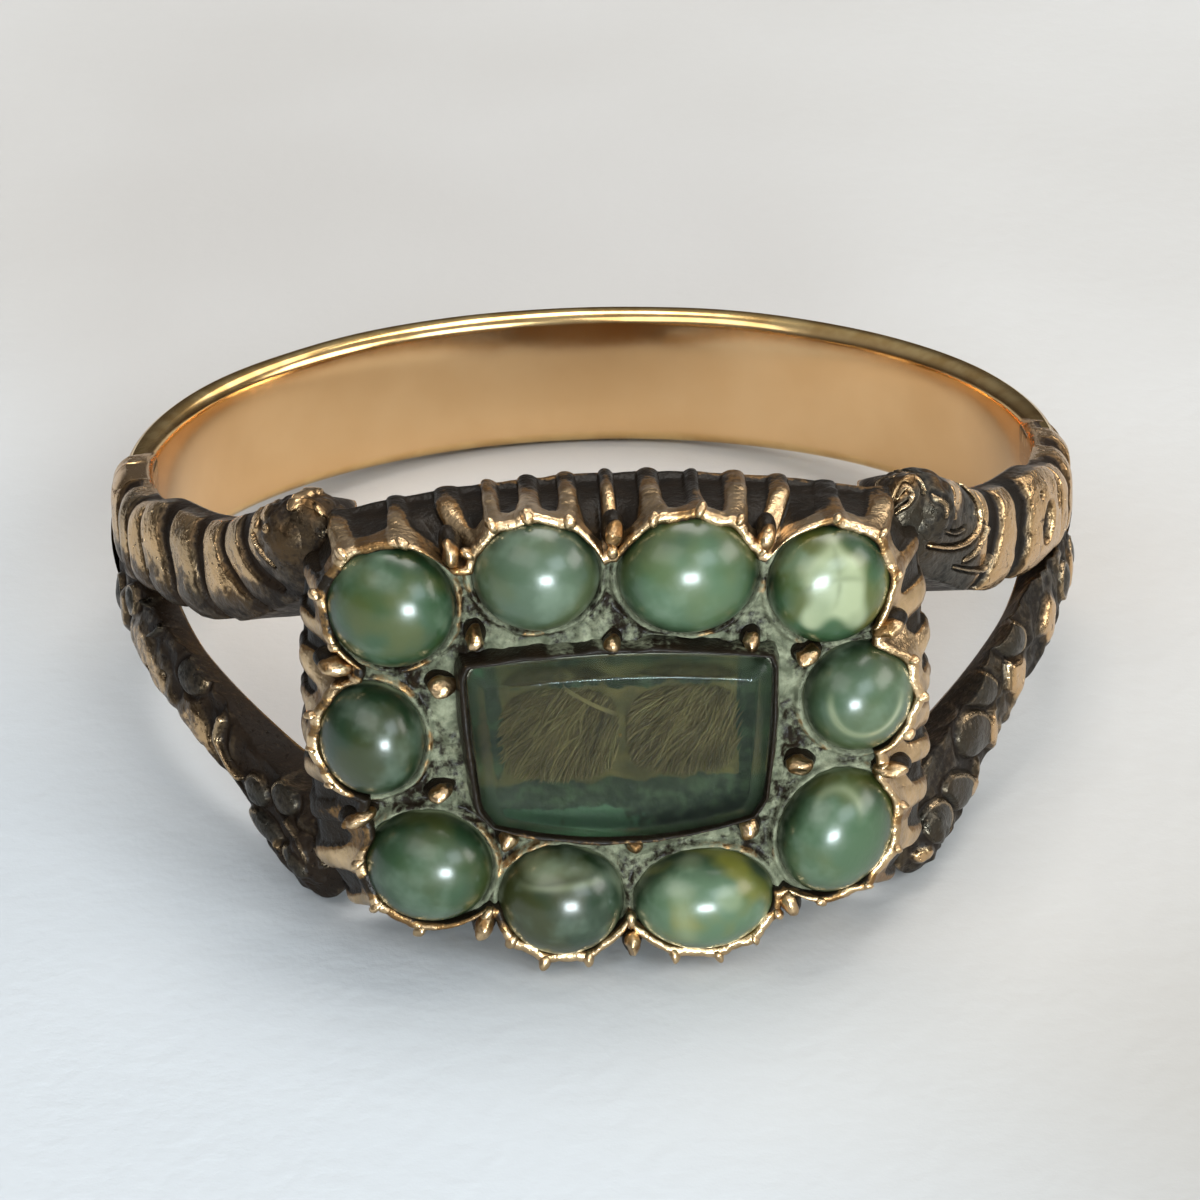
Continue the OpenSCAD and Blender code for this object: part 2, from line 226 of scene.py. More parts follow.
def smooth(points, steps=8):
    """A table of points joined by a smooth curve."""
    table = np.array(points, float)
    padded = np.vstack([table[:1], table, table[-1:]])
    out = []
    for a, b, c, d in zip(padded, padded[1:], padded[2:], padded[3:]):
        for t in np.arange(steps) / steps:
            curve = 2 * b + (c - a) * t + (2 * a - 5 * b + 4 * c - d) * t**2 + (3 * b - a - 3 * c + d) * t**3
            out.append(0.5 * curve)
    out.append(table[-1])
    return np.array(out)


def arc_reach(arcs, turn, grow=0.0):
    """Distance from the middle to the outline that arcs bound, grown by the same amount all round."""
    reach = np.full(np.shape(turn), 99.0)
    for x, z, r in arcs:
        towards = x * np.cos(turn) + z * np.sin(turn)
        reach = np.minimum(reach, towards + np.sqrt(towards**2 - x**2 - z**2 + (r + grow) ** 2))
    return reach


def link(name, data):
    """A new object in the scene."""
    obj = bpy.data.objects.new(name, data)
    bpy.context.scene.collection.objects.link(obj)
    return obj


class Shape:
    """Collects grids of points with a value per point, and makes one mesh of them."""

    def __init__(self):
        self.points, self.quads, self.values, self.count = [], [], {}, 0

    def grid(self, points, around=False, along=False, keep=None, **values):
        """Adds a grid of points: closed across its second axis if around, closed along its first if along."""
        n, m = points.shape[:2]
        index = self.count + np.arange(n * m).reshape(n, m)
        a = np.vstack([index, index[:1]]) if along else index
        a = np.hstack([a, a[:, :1]]) if around else a
        quads = np.stack([a[:-1, :-1], a[1:, :-1], a[1:, 1:], a[:-1, 1:]], -1)
        if keep is not None:
            quads = quads[keep[:-1, :-1] & keep[1:, :-1] & keep[1:, 1:] & keep[:-1, 1:]]
        quads = quads.reshape(-1, 4)
        corner = (points.reshape(-1, 3) - HEAD_MIDDLE)[quads - self.count]
        if np.sum(corner[:, 0] * np.cross(corner[:, 1] - corner[:, 0], corner[:, 2] - corner[:, 0])) < 0:
            quads = quads[:, ::-1]
        self.points.append(points.reshape(-1, 3))
        self.quads.append(quads)
        for name in set(self.values) | set(values):
            old = self.values.setdefault(name, [np.zeros(self.count)] if self.count else [])
            old.append(np.broadcast_to(values.get(name, 0.0), (n, m)).reshape(-1).astype(float))
        self.count += n * m
        return self

    def build(self, name, material, slot, *nodes):
        """Makes the mesh, which rides on the part and stands for the named CAD nodes."""
        points = to_row(np.vstack(self.points))
        quads = np.vstack(self.quads)
        mesh = bpy.data.meshes.new(name)
        mesh.vertices.add(len(points))
        mesh.vertices.foreach_set("co", points.reshape(-1))
        mesh.loops.add(quads.size)
        mesh.loops.foreach_set("vertex_index", quads.reshape(-1).astype(np.int32))
        mesh.polygons.add(len(quads))
        mesh.polygons.foreach_set("loop_start", np.arange(0, quads.size, 4, dtype=np.int32))
        mesh.polygons.foreach_set("use_smooth", np.ones(len(quads), bool))
        for key, parts in self.values.items():
            attribute = mesh.attributes.new(key, "FLOAT", "POINT")
            attribute.data.foreach_set("value", np.concatenate(parts).astype(np.float32))
        mesh.update(calc_edges=True)
        mesh.validate()
        mesh.materials.append(material)
        obj = link(name, mesh)
        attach(obj, "root")
        if nodes:
            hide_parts(*nodes)


def tube(path, radius, sides):
    """Points of a tube round a path (n, 3), with one radius per point."""
    tangent = np.gradient(path, axis=0)
    tangent /= np.linalg.norm(tangent, axis=1, keepdims=True) + 1e-9
    side = np.cross(tangent, (0.0, -1.0, 0.0))
    side /= np.linalg.norm(side, axis=1, keepdims=True) + 1e-9
    up = np.cross(side, tangent)
    turn = circle(sides)
    ring = side[:, None, :] * np.cos(turn)[None, :, None] + up[:, None, :] * np.sin(turn)[None, :, None]
    return path[:, None, :] + ring * radius[:, None, None]


def dome(x, z, depth, across, tall, high, turn, rings, sides):
    """Points of a small dome on the face, from its crown to its foot."""
    lift = np.linspace(90, -30, rings)[:, None] * math.pi / 180
    way = circle(sides)[None, :]
    u, v = across * np.cos(lift) * np.cos(way), tall * np.cos(lift) * np.sin(way)
    c, s = math.cos(turn), math.sin(turn)
    return head_points(x + u * c - v * s, z + u * s + v * c, depth + high * np.sin(lift))


# ---- materials


class Nodes:
    """Short calls for the nodes of a material or a world."""

    def __init__(self, owner, shader="Principled BSDF"):
        owner.use_nodes = True
        self.owner, self.tree = owner, owner.node_tree
        self.shader = self.tree.nodes[shader]

    def add(self, kind, settings=None, **inputs):
        """A new node with its settings and inputs, where an underscore stands for a space."""
        node = self.tree.nodes.new(kind)
        for key, value in (settings or {}).items():
            setattr(node, key, value)
        for key, value in inputs.items():
            self.put(node, key.replace("_", " "), value)
        return node

    def put(self, node, key, value):
        """Sets or links an input, by its name or by i and its number."""
        socket = node.inputs[int(key[1:])] if key[0] == "i" and key[1:].isdigit() else node.inputs[key]
        if isinstance(value, bpy.types.NodeSocket):
            self.tree.links.new(value, socket)
        elif isinstance(value, (tuple, list)) and len(value) == 3 and socket.type == "RGBA":
            socket.default_value = (*value, 1.0)
        else:
            socket.default_value = value

    def set(self, **inputs):
        for key, value in inputs.items():
            self.put(self.shader, key.replace("_", " "), value)

    def place(self):
        return self.add("ShaderNodeTexCoord").outputs["Object"]

    def value(self, name):
        return self.add("ShaderNodeAttribute", {"attribute_name": name}).outputs["Fac"]

    def noise(self, mm, detail=3.0, rough=0.55):
        """Noise with lumps of about mm millimetres."""
        node = self.add("ShaderNodeTexNoise", Scale=1000.0 / mm, Detail=detail, Roughness=rough)
        self.tree.links.new(self.place(), node.inputs["Vector"])
        return node.outputs["Fac"]

    def math(self, operation, a, b=0.0, clamp=False):
        return self.add("ShaderNodeMath", {"operation": operation, "use_clamp": clamp}, i0=a, i1=b).outputs[0]

    def plus(self, a, b, clamp=False):
        return self.math("ADD", a, b, clamp)

    def minus(self, a, b):
        return self.math("SUBTRACT", a, b)

    def times(self, a, b):
        return self.math("MULTIPLY", a, b)

    def sway(self, noise, strength):
        """Noise centred on zero."""
        return self.times(self.minus(noise, 0.5), strength)

    def ramp(self, value, low, high):
        settings = {"interpolation_type": "SMOOTHSTEP"}
        node = self.add("ShaderNodeMapRange", settings, Value=value, From_Min=low, From_Max=high)
        return node.outputs["Result"]

    def mix(self, factor, a, b):
        return self.add("ShaderNodeMix", {"data_type": "RGBA"}, i0=factor, i6=a, i7=b).outputs[2]

    def mix_value(self, factor, a, b):
        return self.add("ShaderNodeMix", {"data_type": "FLOAT"}, i0=factor, i2=a, i3=b).outputs[0]

    def bump(self, height, mm):
        return self.add("ShaderNodeBump", Height=height, Distance=mm / 1000).outputs["Normal"]


def surface(name):
    """The nodes of a new material."""
    return Nodes(bpy.data.materials.new(name))


def polished_gold():
    """The worn, polished band: a little clouding, and a paler, yellower rim that is partly polish and partly
    painted highlight.
    """
    n = surface("polished_gold")
    cloud = n.noise(2.6, 4)
    gold = n.mix(n.ramp(cloud, 0.3, 0.75), (0.76, 0.485, 0.235), (0.86, 0.575, 0.3))
    # the rim colour: partly polish, partly painted highlight, its brighter patches painted glints
    rim = n.mix(n.ramp(n.noise(0.8, 3), 0.35, 0.65), (0.72, 0.44, 0.13), (1.0, 0.72, 0.3))
    n.set(Base_Color=n.mix(n.value("wear"), gold, rim), Metallic=1.0)
    n.set(Roughness=n.mix_value(n.ramp(cloud, 0.3, 0.8), 0.15, 0.22))
    n.set(Normal=n.bump(n.noise(0.9, 2), 0.004))
    return n.owner


def chased_gold():
    """Chasing: black in the hollows, dark steel where it is tarnished, grey or gold where it is rubbed and
    where highlights are painted.
    """
    n = surface("chased_gold")
    grain = n.noise(0.15, 3, 0.6)
    pits = n.ramp(n.noise(0.12, 2, 0.7), 0.28, 0.37)
    wear = n.plus(n.value("wear"), n.sway(grain, 0.65))
    gilt = n.plus(n.value("gilt"), n.sway(n.noise(1.0, 3), 0.9), True)
    steel = n.ramp(wear, 0.1, 0.36)
    bright = n.times(n.ramp(wear, 0.46, 0.72), pits)
    dark = n.mix(gilt, (0.006, 0.005, 0.004), (0.02, 0.01, 0.004))
    tarnish = n.mix(gilt, (0.056, 0.05, 0.039), (0.11, 0.062, 0.026))
    worn = n.mix(n.ramp(gilt, 0.2, 0.8), (0.34, 0.25, 0.15), (0.64, 0.42, 0.215))
    n.set(Base_Color=n.mix(bright, n.mix(steel, dark, tarnish), worn))
    n.set(Metallic=steel, Specular_IOR_Level=0.12)
    n.set(Roughness=n.mix_value(bright, n.mix_value(steel, 0.5, 0.34), 0.24))
    # smooth where it is still all gold, as inside the finger hole
    rough = n.minus(1.0, n.ramp(n.value("gilt"), 0.96, 1.0))
    n.set(Normal=n.bump(n.times(n.plus(grain, pits), rough), 0.03))
    return n.owner


def head_gold():
    """The head: rubbed gold on lip, ribs and grains, amber on their flanks, black hollows, green deposit."""
    n = surface("head_gold")
    grain = n.noise(0.12, 3, 0.6)
    wear = n.plus(n.value("wear"), n.sway(grain, 0.5))
    amber, bright = n.ramp(wear, 0.22, 0.46), n.ramp(wear, 0.5, 0.78)
    dark = n.mix(n.noise(0.4, 3), (0.004, 0.004, 0.003), (0.016, 0.009, 0.004))
    worn = n.mix(n.ramp(n.noise(0.7, 3), 0.3, 0.7), (0.44, 0.3, 0.16), (0.73, 0.52, 0.3))
    metal = n.mix(bright, n.mix(amber, dark, (0.25, 0.14, 0.055)), worn)
    crust = n.ramp(n.plus(n.value("green"), n.sway(grain, 0.8)), 0.34, 0.66)
    salt = n.mix(n.ramp(n.noise(0.3, 4, 0.65), 0.35, 0.75), (0.09, 0.096, 0.06), (0.235, 0.24, 0.158))
    n.set(Base_Color=n.mix(crust, metal, salt))
    n.set(Metallic=n.times(amber, n.minus(1.0, crust)), Specular_IOR_Level=0.15)
    n.set(Roughness=n.mix_value(crust, n.mix_value(bright, 0.36, 0.28), 0.7))
    n.set(Normal=n.bump(grain, 0.03))
    return n.owner


def blend(a, b, share):
    """A colour between two others."""
    return tuple(float(u + (v - u) * share) for u, v in zip(a, b))


def nacre(name, mist, olive, light, cloud):
    """A green-stained half pearl: painted shade in deep green round its foot, clouded over the crown, olive
    in places.
    """
    n = surface(name)
    mottle = n.noise(0.9, 3, 0.5)
    up = n.plus(n.value("crown"), n.sway(mottle, cloud))
    body = blend((0, 0, 0), blend(SEA, MIST, mist), light)
    # painted shade: dark towards the foot of the dome, the body colour over the crown
    colour = n.mix(n.ramp(up, 0.15, 0.9), blend(FOOT_SHADE, body, 0.08), body)
    stain = n.ramp(n.noise(1.2, 2, 0.5), 0.42, 0.62)
    colour = n.mix(n.times(stain, olive), colour, blend((0, 0, 0), OLIVE, light))
    pale = blend(body, (0.36, 0.42, 0.33), 0.2)
    colour = n.mix(n.times(n.ramp(mottle, 0.5, 0.72), 0.6), colour, pale)
    colour = n.mix(n.value("cream"), colour, (0.26, 0.275, 0.165))
    n.set(Base_Color=n.mix(n.value("crack"), colour, (0.075, 0.09, 0.045)), Roughness=0.42, IOR=1.55)
    n.set(Specular_IOR_Level=0.2, Coat_Weight=0.8, Coat_Roughness=0.23, Coat_IOR=1.5)
    n.set(Coat_Tint=(0.94, 1.0, 0.96))
    fine = n.times(n.noise(0.22, 3, 0.6), 0.25)
    n.set(Normal=n.bump(n.plus(mottle, fine), 0.03))
    return n.owner


def glass_material():
    """Old glass with a grey green cast, duller and darker on the bevel."""
    n = surface("old_glass")
    bevel = n.value("bevel")
    n.set(Base_Color=n.mix(bevel, (0.88, 0.89, 0.72), (0.5, 0.6, 0.46)))
    n.set(Roughness=n.mix_value(bevel, 0.03, 0.24), IOR=1.5)
    n.set(Transmission_Weight=1.0, Specular_Tint=(0.22, 0.24, 0.26))
    n.set(Normal=n.bump(n.noise(1.6, 2), 0.015))
    return n.owner


def hair_material():
    """Brown hair, from dark to pale by strand and in streaks along it."""
    n = surface("hair_strands")
    tone = n.plus(n.value("tone"), n.times(n.noise(0.25, 2), 0.3))
    n.set(Base_Color=n.mix(n.ramp(tone, 0.1, 1.1), (0.055, 0.037, 0.018), (0.215, 0.17, 0.09)))
    n.set(Roughness=0.5, Specular_IOR_Level=0.3)
    return n.owner


def card_material():
    """The stained card under the hair: olive, green black at its edges, teal where the bevel lies over it."""
    n = surface("hair_card")
    stain = n.noise(0.4, 3, 0.6)
    loose = n.sway(stain, 1.7)
    olive = n.mix(n.ramp(stain, 0.3, 0.7), (0.06, 0.048, 0.018), (0.12, 0.098, 0.036))
    green = n.ramp(n.plus(n.value("green"), loose), 0.35, 0.6)
    teal = n.ramp(n.plus(n.value("teal"), loose), 0.35, 0.7)
    deep = n.mix(n.ramp(n.noise(0.25, 3), 0.4, 0.7), (0.005, 0.016, 0.009), (0.035, 0.06, 0.038))
    colour = n.mix(green, olive, deep)
    n.set(Base_Color=n.mix(teal, colour, (0.055, 0.125, 0.09)), Roughness=0.75, Normal=n.bump(stain, 0.04))
    return n.owner


# ---- band and forks


def band():
    """The plain band: nearly flat inside, rounded outside, its edges worn soft."""
    lengths, inside, outside = ((360, 20, 40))
    rise = BAND_MID_T - BAND_EDGE_T
    crown_r = ((BAND_W / 2) ** 2 + rise**2) / (2 * rise)
    soft, wide = 0.07, 0.3
    z_in = np.linspace(-BAND_W / 2 + wide, BAND_W / 2 - wide, inside)
    z_out = np.linspace(BAND_W / 2 - soft, -BAND_W / 2 + soft, outside)
    # the inside opens out a little towards both edges
    r_in = BORE_R + 0.2 * np.clip(np.abs(z_in) / (BAND_W / 2) - 0.4, 0, 1) ** 2
    turn = np.linspace(0, np.pi / 2, 8)[1:-1]
    corner_in = np.stack([r_in[-1] + wide * (1 - np.cos(turn)), BAND_W / 2 - wide * (1 - np.sin(turn))], -1)
    corner_in = np.vstack([corner_in, [[r_in[-1] + wide, BAND_W / 2]]])
    edge_r = BORE_R + BAND_EDGE_T
    corner_out = np.stack([edge_r - soft * (1 - np.sin(turn)), BAND_W / 2 - soft * (1 - np.cos(turn))], -1)
    corner_out = np.vstack([[[edge_r - soft, BAND_W / 2]], corner_out])
    outer = np.stack([BORE_R + BAND_MID_T - crown_r + np.sqrt(crown_r**2 - z_out**2), z_out], -1)
    flip = np.array([1, -1])
    rim = np.vstack([corner_in, corner_out])
    section = np.vstack([np.stack([r_in, z_in], -1), rim, outer, rim[::-1] * flip])
    # the rim's share of the paler rim colour: partly polish, partly a painted highlight
    worn = np.concatenate([np.linspace(0.3, 1, len(corner_in)), np.ones(len(corner_out))])
    flat = np.concatenate([np.zeros(inside), worn, np.zeros(outside), worn[::-1]])
    angle = np.radians(np.linspace(-90, 90, lengths))
    r, z = section[None, :, 0], section[None, :, 1]
    p = np.stack([r * np.sin(angle)[:, None], r * np.cos(angle)[:, None], z + 0 * angle[:, None]], -1)
    p = p + noise(p, 1.9, 1)[..., None] * np.array([0, 0, 0.012])
    return Shape().grid(p, around=True, wear=flat[None, :])


def along(angle):
    """Distance along a fork's surface from the side of the ring, for an angle from the back of the band."""
    return RELIEF_R * np.radians(np.asarray(angle, float) - 90)


class Relief:
    """Height, rubbing with painted highlights and painted shade, and gilding of a chased surface, worked
    motif by motif at (angle, height) places.
    """

    def __init__(self, angle, z, height, wear, gilt):
        self.a, self.z = along(angle), z
        self.uneven = noise(np.stack([self.a, z, 0 * z], -1), 0.3, 21)
        self.height, self.wear, self.gilt = (v + np.zeros(z.shape) for v in (height, wear, gilt))

    def lay(self, mask, height, wear, gilt=None):
        """Brings the surface to these values as far as the mask goes."""
        self.height = self.height + (height - self.height) * mask
        self.wear = self.wear + (wear - self.wear) * mask
        if gilt is not None:
            self.gilt = self.gilt + (gilt - self.gilt) * mask

    def near(self, path):
        """Distance from a smooth line through some places, and how far along it the nearest point lies."""
        p = smooth([(along(angle), z) for angle, z in path], 5)
        best, share = np.full(self.z.shape, 99.0), np.zeros(self.z.shape)
        for i, (start, end) in enumerate(zip(p, p[1:])):
            d = end - start
            s = np.clip(((self.a - start[0]) * d[0] + (self.z - start[1]) * d[1]) / (d @ d), 0, 1)
            far = np.hypot(self.a - start[0] - s * d[0], self.z - start[1] - s * d[1])
            share = np.where(far < best, (i + s) / (len(p) - 1), share)
            best = np.minimum(best, far)
        return best, share

    def oval(self, place, across, tall, turn):
        """Place within an oval, as distance from its middle (1 at its edge) and direction from it."""
        u, v = self.a - along(place[0]), self.z - place[1]
        c, s = cos_sin(turn)
        u, v = (u * c + v * s) / across, (-u * s + v * c) / tall
        return np.hypot(u, v), np.degrees(np.arctan2(v, u))

    def line(self, path, width, wear, gilt):
        """A raised line, finer towards its end."""
        height = 0.95
        far, share = self.near(path)
        width = width * (1 - 0.5 * share)
        self.lay(step(width * 2.6, width * 1.3, far), height * 0.3, 0.05)
        self.lay(step(width * 1.4, width * 0.5, far), height, wear, gilt)

    def cut(self, path, width, taper=0.4, gilt=0.55):
        """A cut that narrows along its length, between rounded shoulders with painted shade sloping into it
        and painted highlights along its edges.
        """
        far, share = self.near(path)
        width = width * (1 - (1 - taper) * share) * (1 + 0.15 * self.uneven)
        self.height = self.height - 0.4 * bell(far, width + 0.22)
        # painted shade on the shoulders beside the cut
        self.wear = self.wear - 0.22 * bell(far, width + 0.1)
        # painted highlight: a bright band just outside the cut's edge
        self.wear = self.wear + 0.22 * bell(far - 1.6 * width - 0.04, 0.08) * (self.wear > 0.3)
        self.lay(step(width * 1.35, width * 0.75, far), 0.0, 0.0, gilt)

    def disc(self, place, across, tall, turn=0, highlight_side=None, wear=0.3):
        """A domed disc in a dark ring, with a thin bright edge all round, or on one side only as a painted
        highlight.
        """
        rise = 0.85
        e, direction = self.oval(place, across, tall, turn)
        far = (e - 1) * min(across, tall)
        self.lay(step(0.14, 0.04, far), 0.05, 0.02)
        self.lay(step(0.03, -0.02, far), rise * (0.35 + 0.65 * np.sqrt(np.clip(1 - e**2, 0, 1))), wear, 0.1)
        # a thin bright edge, which is a painted highlight where it is kept to one side
        edge = bell(far + 0.02, 0.04)
        if highlight_side is not None:
            edge = edge * step(-0.1, 0.7, np.cos(np.radians(direction - highlight_side)))
        self.lay(edge, rise * 0.75, 0.95)

    def pit(self, place, across, tall, turn=0):
        """A small dark hollow."""
        e, _ = self.oval(place, across, tall, turn)
        self.lay(step(1.15, 0.8, e + 0.1 * self.uneven), 0.05, 0.06, 0.4)

    def patch(self, place, across, tall, turn, wear, gilt, height=0.75):
        """A rubbed place with an uneven edge, also used for small painted glints."""
        e, _ = self.oval(place, across, tall, turn)
        self.lay(step(1.35, 0.55, e + 0.35 * self.uneven), height, wear + 0.15 * self.uneven, gilt)


# What is chased on each fork, motif by motif: places are (angle from the back of the band, height)


def left_upper(r):
    r.cut([(97, 1.5), (99.6, 0.8), (99.8, 0.15)], 0.2)
    r.cut([(104, 1.7), (105.3, 0.9), (105.8, 0.2)], 0.16)
    r.cut([(110, 1.7), (111.2, 1), (113.2, 0.15)], 0.07, 0.6)
    r.pit((112.9, 1.34), 0.06, 0.06)
    r.pit((114.4, 0.72), 0.06, 0.07)
    r.cut([(116.6, 2.3), (118.6, 1.5), (120.4, 0.25)], 0.27, 0.5)
    r.cut([(124.9, 2.6), (126.2, 1.75), (128.2, 0.94), (131.2, 0.5)], 0.27, 0.25)
    r.cut([(130.9, 2.9), (132, 2.05), (135.6, 1.62), (139.8, 1.2)], 0.19, 0.3)
    r.cut([(138, 3.7), (136.9, 2.75), (138.6, 2.25), (143.6, 1.95)], 0.25, 0.4)
    r.line([(140, 3.4), (139.7, 2.85), (141.4, 2.6), (144, 2.45)], 0.05, 0.85, 0.5)
    r.patch((148, 3.95), 0.42, 0.26, 0, 0.46, 1)
    # small raised bright patches on the bud: painted glints
    r.patch((140.4, 3.05), 0.13, 0.17, 0, 0.95, 1, 1.1)
    r.patch((142.6, 3.36), 0.17, 0.13, 40, 1, 1, 1.5)
    r.patch((143.9, 3.2), 0.09, 0.08, 0, 0.95, 1, 1.4)
    r.patch((146.4, 3.74), 0.15, 0.12, 0, 1, 1, 1.5)
    r.patch((149.6, 3.94), 0.12, 0.1, 0, 1, 1, 1.5)
    r.line([(150.9, 4.3), (150.9, 3.9), (150.4, 3.4)], 0.03, 0.75, 0.1)


def right_upper(r):
    r.cut([(87.6, 1.5), (88, 0.8), (88, 0.15)], 0.2, 0.8)
    r.cut([(94.4, 1.6), (95, 0.8), (95, 0.15)], 0.26, 0.8)
    r.cut([(101.4, 1.6), (102, 0.9), (102.6, 0.15)], 0.28, 0.8)
    r.cut([(107.4, 1.8), (107.8, 1), (108.2, 0.25)], 0.12)
    r.pit((110.8, 1.45), 0.18, 0.3)
    r.pit((117.3, 1.72), 0.08, 0.08)
    r.pit((115.5, 1.1), 0.32, 0.42, 10)
    r.cut([(121.4, 2.4), (122.4, 1.75), (123.6, 0.5)], 0.31, 0.95, 0.15)
    r.cut([(129.2, 2.75), (129.7, 2.12), (130.8, 1.58), (132.9, 0.8)], 0.3, 0.7, 0.15)
    r.cut([(134.8, 2.95), (133.4, 2.3), (133.8, 1.85)], 0.12, 0.6)
    r.line([(137.8, 3.15), (135.7, 2.75), (134.9, 2.4), (135.6, 2.12), (138.4, 2.03), (142, 2.16),
        (146.5, 2.45)], 0.07, 0.98, 0.6)
    r.line([(133.4, 1.96), (134.5, 1.78), (136.4, 1.68), (139, 1.7)], 0.07, 0.95, 0.2)
    r.line([(132.3, 1.34), (134, 1.18), (136.8, 1.34), (141, 1.7)], 0.05, 0.8, 0.2)
    r.line([(139.6, 2.36), (142, 2.44), (145, 2.72)], 0.04, 0.6, 0.1)
    r.patch((140.5, 3.08), 0.3, 0.34, 0, 0.72, 1)
    r.patch((144, 3.62), 0.26, 0.16, 0, 0.25, 0.9)
    # three short bright strokes near the scroll: painted glints
    r.line([(142, 3.16), (142.4, 3.02), (143.2, 2.86)], 0.07, 1.1, 0.5)
    r.line([(145.8, 3.4), (144.5, 3.22), (145.2, 3.04)], 0.06, 1.1, 0.1)
    r.line([(147.9, 3.9), (146.8, 3.7), (147.1, 3.5)], 0.05, 1.1, 0.3)
    r.patch((149.2, 3.9), 0.42, 0.22, 0, 0.62, 1)
    r.line([(152.2, 3.9), (151.2, 3.66), (149.6, 3.5), (148.6, 3.62), (149, 3.8), (150.2, 3.82)],
        0.05, 0.95, 0.4)


def left_lower(r):
    r.disc((95.5, -0.8), 0.42, 0.4)
    r.patch((100.5, -0.8), 0.26, 0.45, 0, 0.8, 0.5)
    r.disc((105, -0.4), 0.34, 0.28)
    r.line([(109, -0.12), (113, -0.2), (114.8, -0.42), (113, -0.66)], 0.08, 0.62, 0.1)
    r.patch((109.5, -1.05), 0.8, 0.42, -15, 0.8, 0.6)
    r.patch((115, -1.45), 0.62, 0.44, -25, 0.8, 0.6)
    r.pit((111.8, -1.36), 0.08, 0.08)
    r.pit((116.6, -1.24), 0.07, 0.09)
    r.patch((118.4, -0.3), 0.08, 0.06, 0, 0.6, 0.3)
    r.patch((123.6, -1.95), 0.72, 0.44, -15, 0.8, 0.7)
    r.disc((122.8, -1), 0.46, 0.35, 0, 40)
    r.cut([(127.4, -1.5), (127.4, -2.1), (130.6, -2.6), (134.5, -2.8)], 0.09, 0.6)
    r.line([(130, -1.42), (129.4, -1.88), (132, -2.24), (134.8, -2.34)], 0.09, 0.92, 0.4)
    r.disc((137.2, -2.42), 0.36, 0.3, 0, 120, 0.34)
    r.disc((142.6, -2.24), 0.36, 0.3, 0, 120, 0.3)
    r.disc((138.8, -3.05), 0.55, 0.22, -15, 200, 0.36)
    r.patch((141.4, -3.25), 0.22, 0.14, 0, 0.75, 0.6)
    r.line([(143.4, -2.6), (146.2, -2.96), (146.8, -3.34)], 0.04, 0.75, 0.2)
    r.line([(148, -2.9), (149.2, -3.3)], 0.04, 0.75, 0.2)
    r.disc((144.4, -3.4), 0.4, 0.24, -20, 200, 0.3)


def right_lower(r):
    r.disc((95.5, -0.8), 0.42, 0.4)
    r.patch((100.5, -0.8), 0.26, 0.45, 0, 0.85, 0.9)
    r.disc((106, -0.7), 0.36, 0.38)
    r.patch((114, -1), 0.42, 0.44, 0, 0.9, 0.95)
    r.pit((112.2, -0.9), 0.07, 0.16)
    r.patch((124.2, -1.5), 0.34, 0.42, 10, 0.9, 0.95)
    r.disc((125, -0.74), 0.58, 0.34, 20, 150, 0.32)
    # a short bright stroke on the gold strip: a painted glint
    r.line([(127, -1.1), (127.2, -1.6)], 0.05, 1, 0.3)
    r.disc((133.6, -1.26), 0.72, 0.34, 20, 90, 0.3)
    r.disc((135.4, -2.02), 0.72, 0.42, 22, 110, 0.36)
    r.patch((131.2, -2.2), 0.18, 0.3, 0, 0.8, 0.9)
    r.disc((139.6, -2.85), 0.62, 0.36, 24, 120, 0.36)
    r.patch((136.2, -3.05), 0.24, 0.2, 0, 0.85, 0.9)
    r.disc((144.6, -3.1), 0.58, 0.38, 24, 120, 0.4)
    r.patch((147.4, -3.6), 0.22, 0.16, 0, 0.8, 0.8)


CHASING = {
    (-1, True): left_upper,
    (1, True): right_upper,
    (-1, False): left_lower,
    (1, False): right_lower,
}


def fork_edges(upper):
    """Distance towards the back and heights of both edges of a fork, from the head to the band."""
    return smooth(np.array(FORKS)[::-1, [0, 1, 2] if upper else [0, 3, 4]])


def chasing(side, upper, rows, p):
    """The relief at some points of a fork."""
    angle = np.degrees(np.arctan2(side * p[..., 0], p[..., 1]))
    z = p[..., 2]
    low, high = (np.interp(p[..., 1], rows[:, 0], rows[:, i]) for i in (1, 2))
    share = (z - low) / (high - low)
    warp = np.stack([along(angle), z, np.full(z.shape, 3.0 * side)], -1)
    angle, z = angle + 0.35 * noise(warp, 0.8, 2), z + 0.05 * noise(warp, 0.8, 3)
    rough, lump = noise(warp, 0.25, 4), noise(warp, 0.6, 5)
    if upper and side < 0:  # rubbed along its upper edge, all gold beside the band
        wear = (0.08 + 0.42 * step(0.05, 0.55, share)) * step(143, 138.5, angle) + 0.2
        plain = step(99, 95, angle)
        wear = wear + (0.8 - wear) * plain
        relief = Relief(angle, z, 0.8, wear + 0.14 * rough + 0.12 * lump, 0.55 + 0.3 * lump + 0.4 * plain)
    elif upper:  # gold up to the scroll at the head, which is tarnished
        gold = step(137.5, 133.5, angle)
        relief = Relief(angle, z, 0.8, 0.26 + 0.48 * gold + 0.1 * rough + 0.08 * lump, 0.12 + 0.7 * gold)
    else:
        blotch = step(0.0, 0.7, lump + 0.5 * rough) * (0.46 if side > 0 else 0.16)
        wear = 0.06 + 0.08 * (side > 0) + 0.05 * rough + blotch
        relief = Relief(angle, z, 0.25 + 0.2 * rough + 0.3 * blotch, wear, 0.45 - 0.2 * (side > 0))
    CHASING[side, upper](relief)
    relief.height = relief.height + 0.06 * rough
    if side < 0 and not upper:  # the darkest of the four
        relief.wear = 0.76 * relief.wear
    return relief


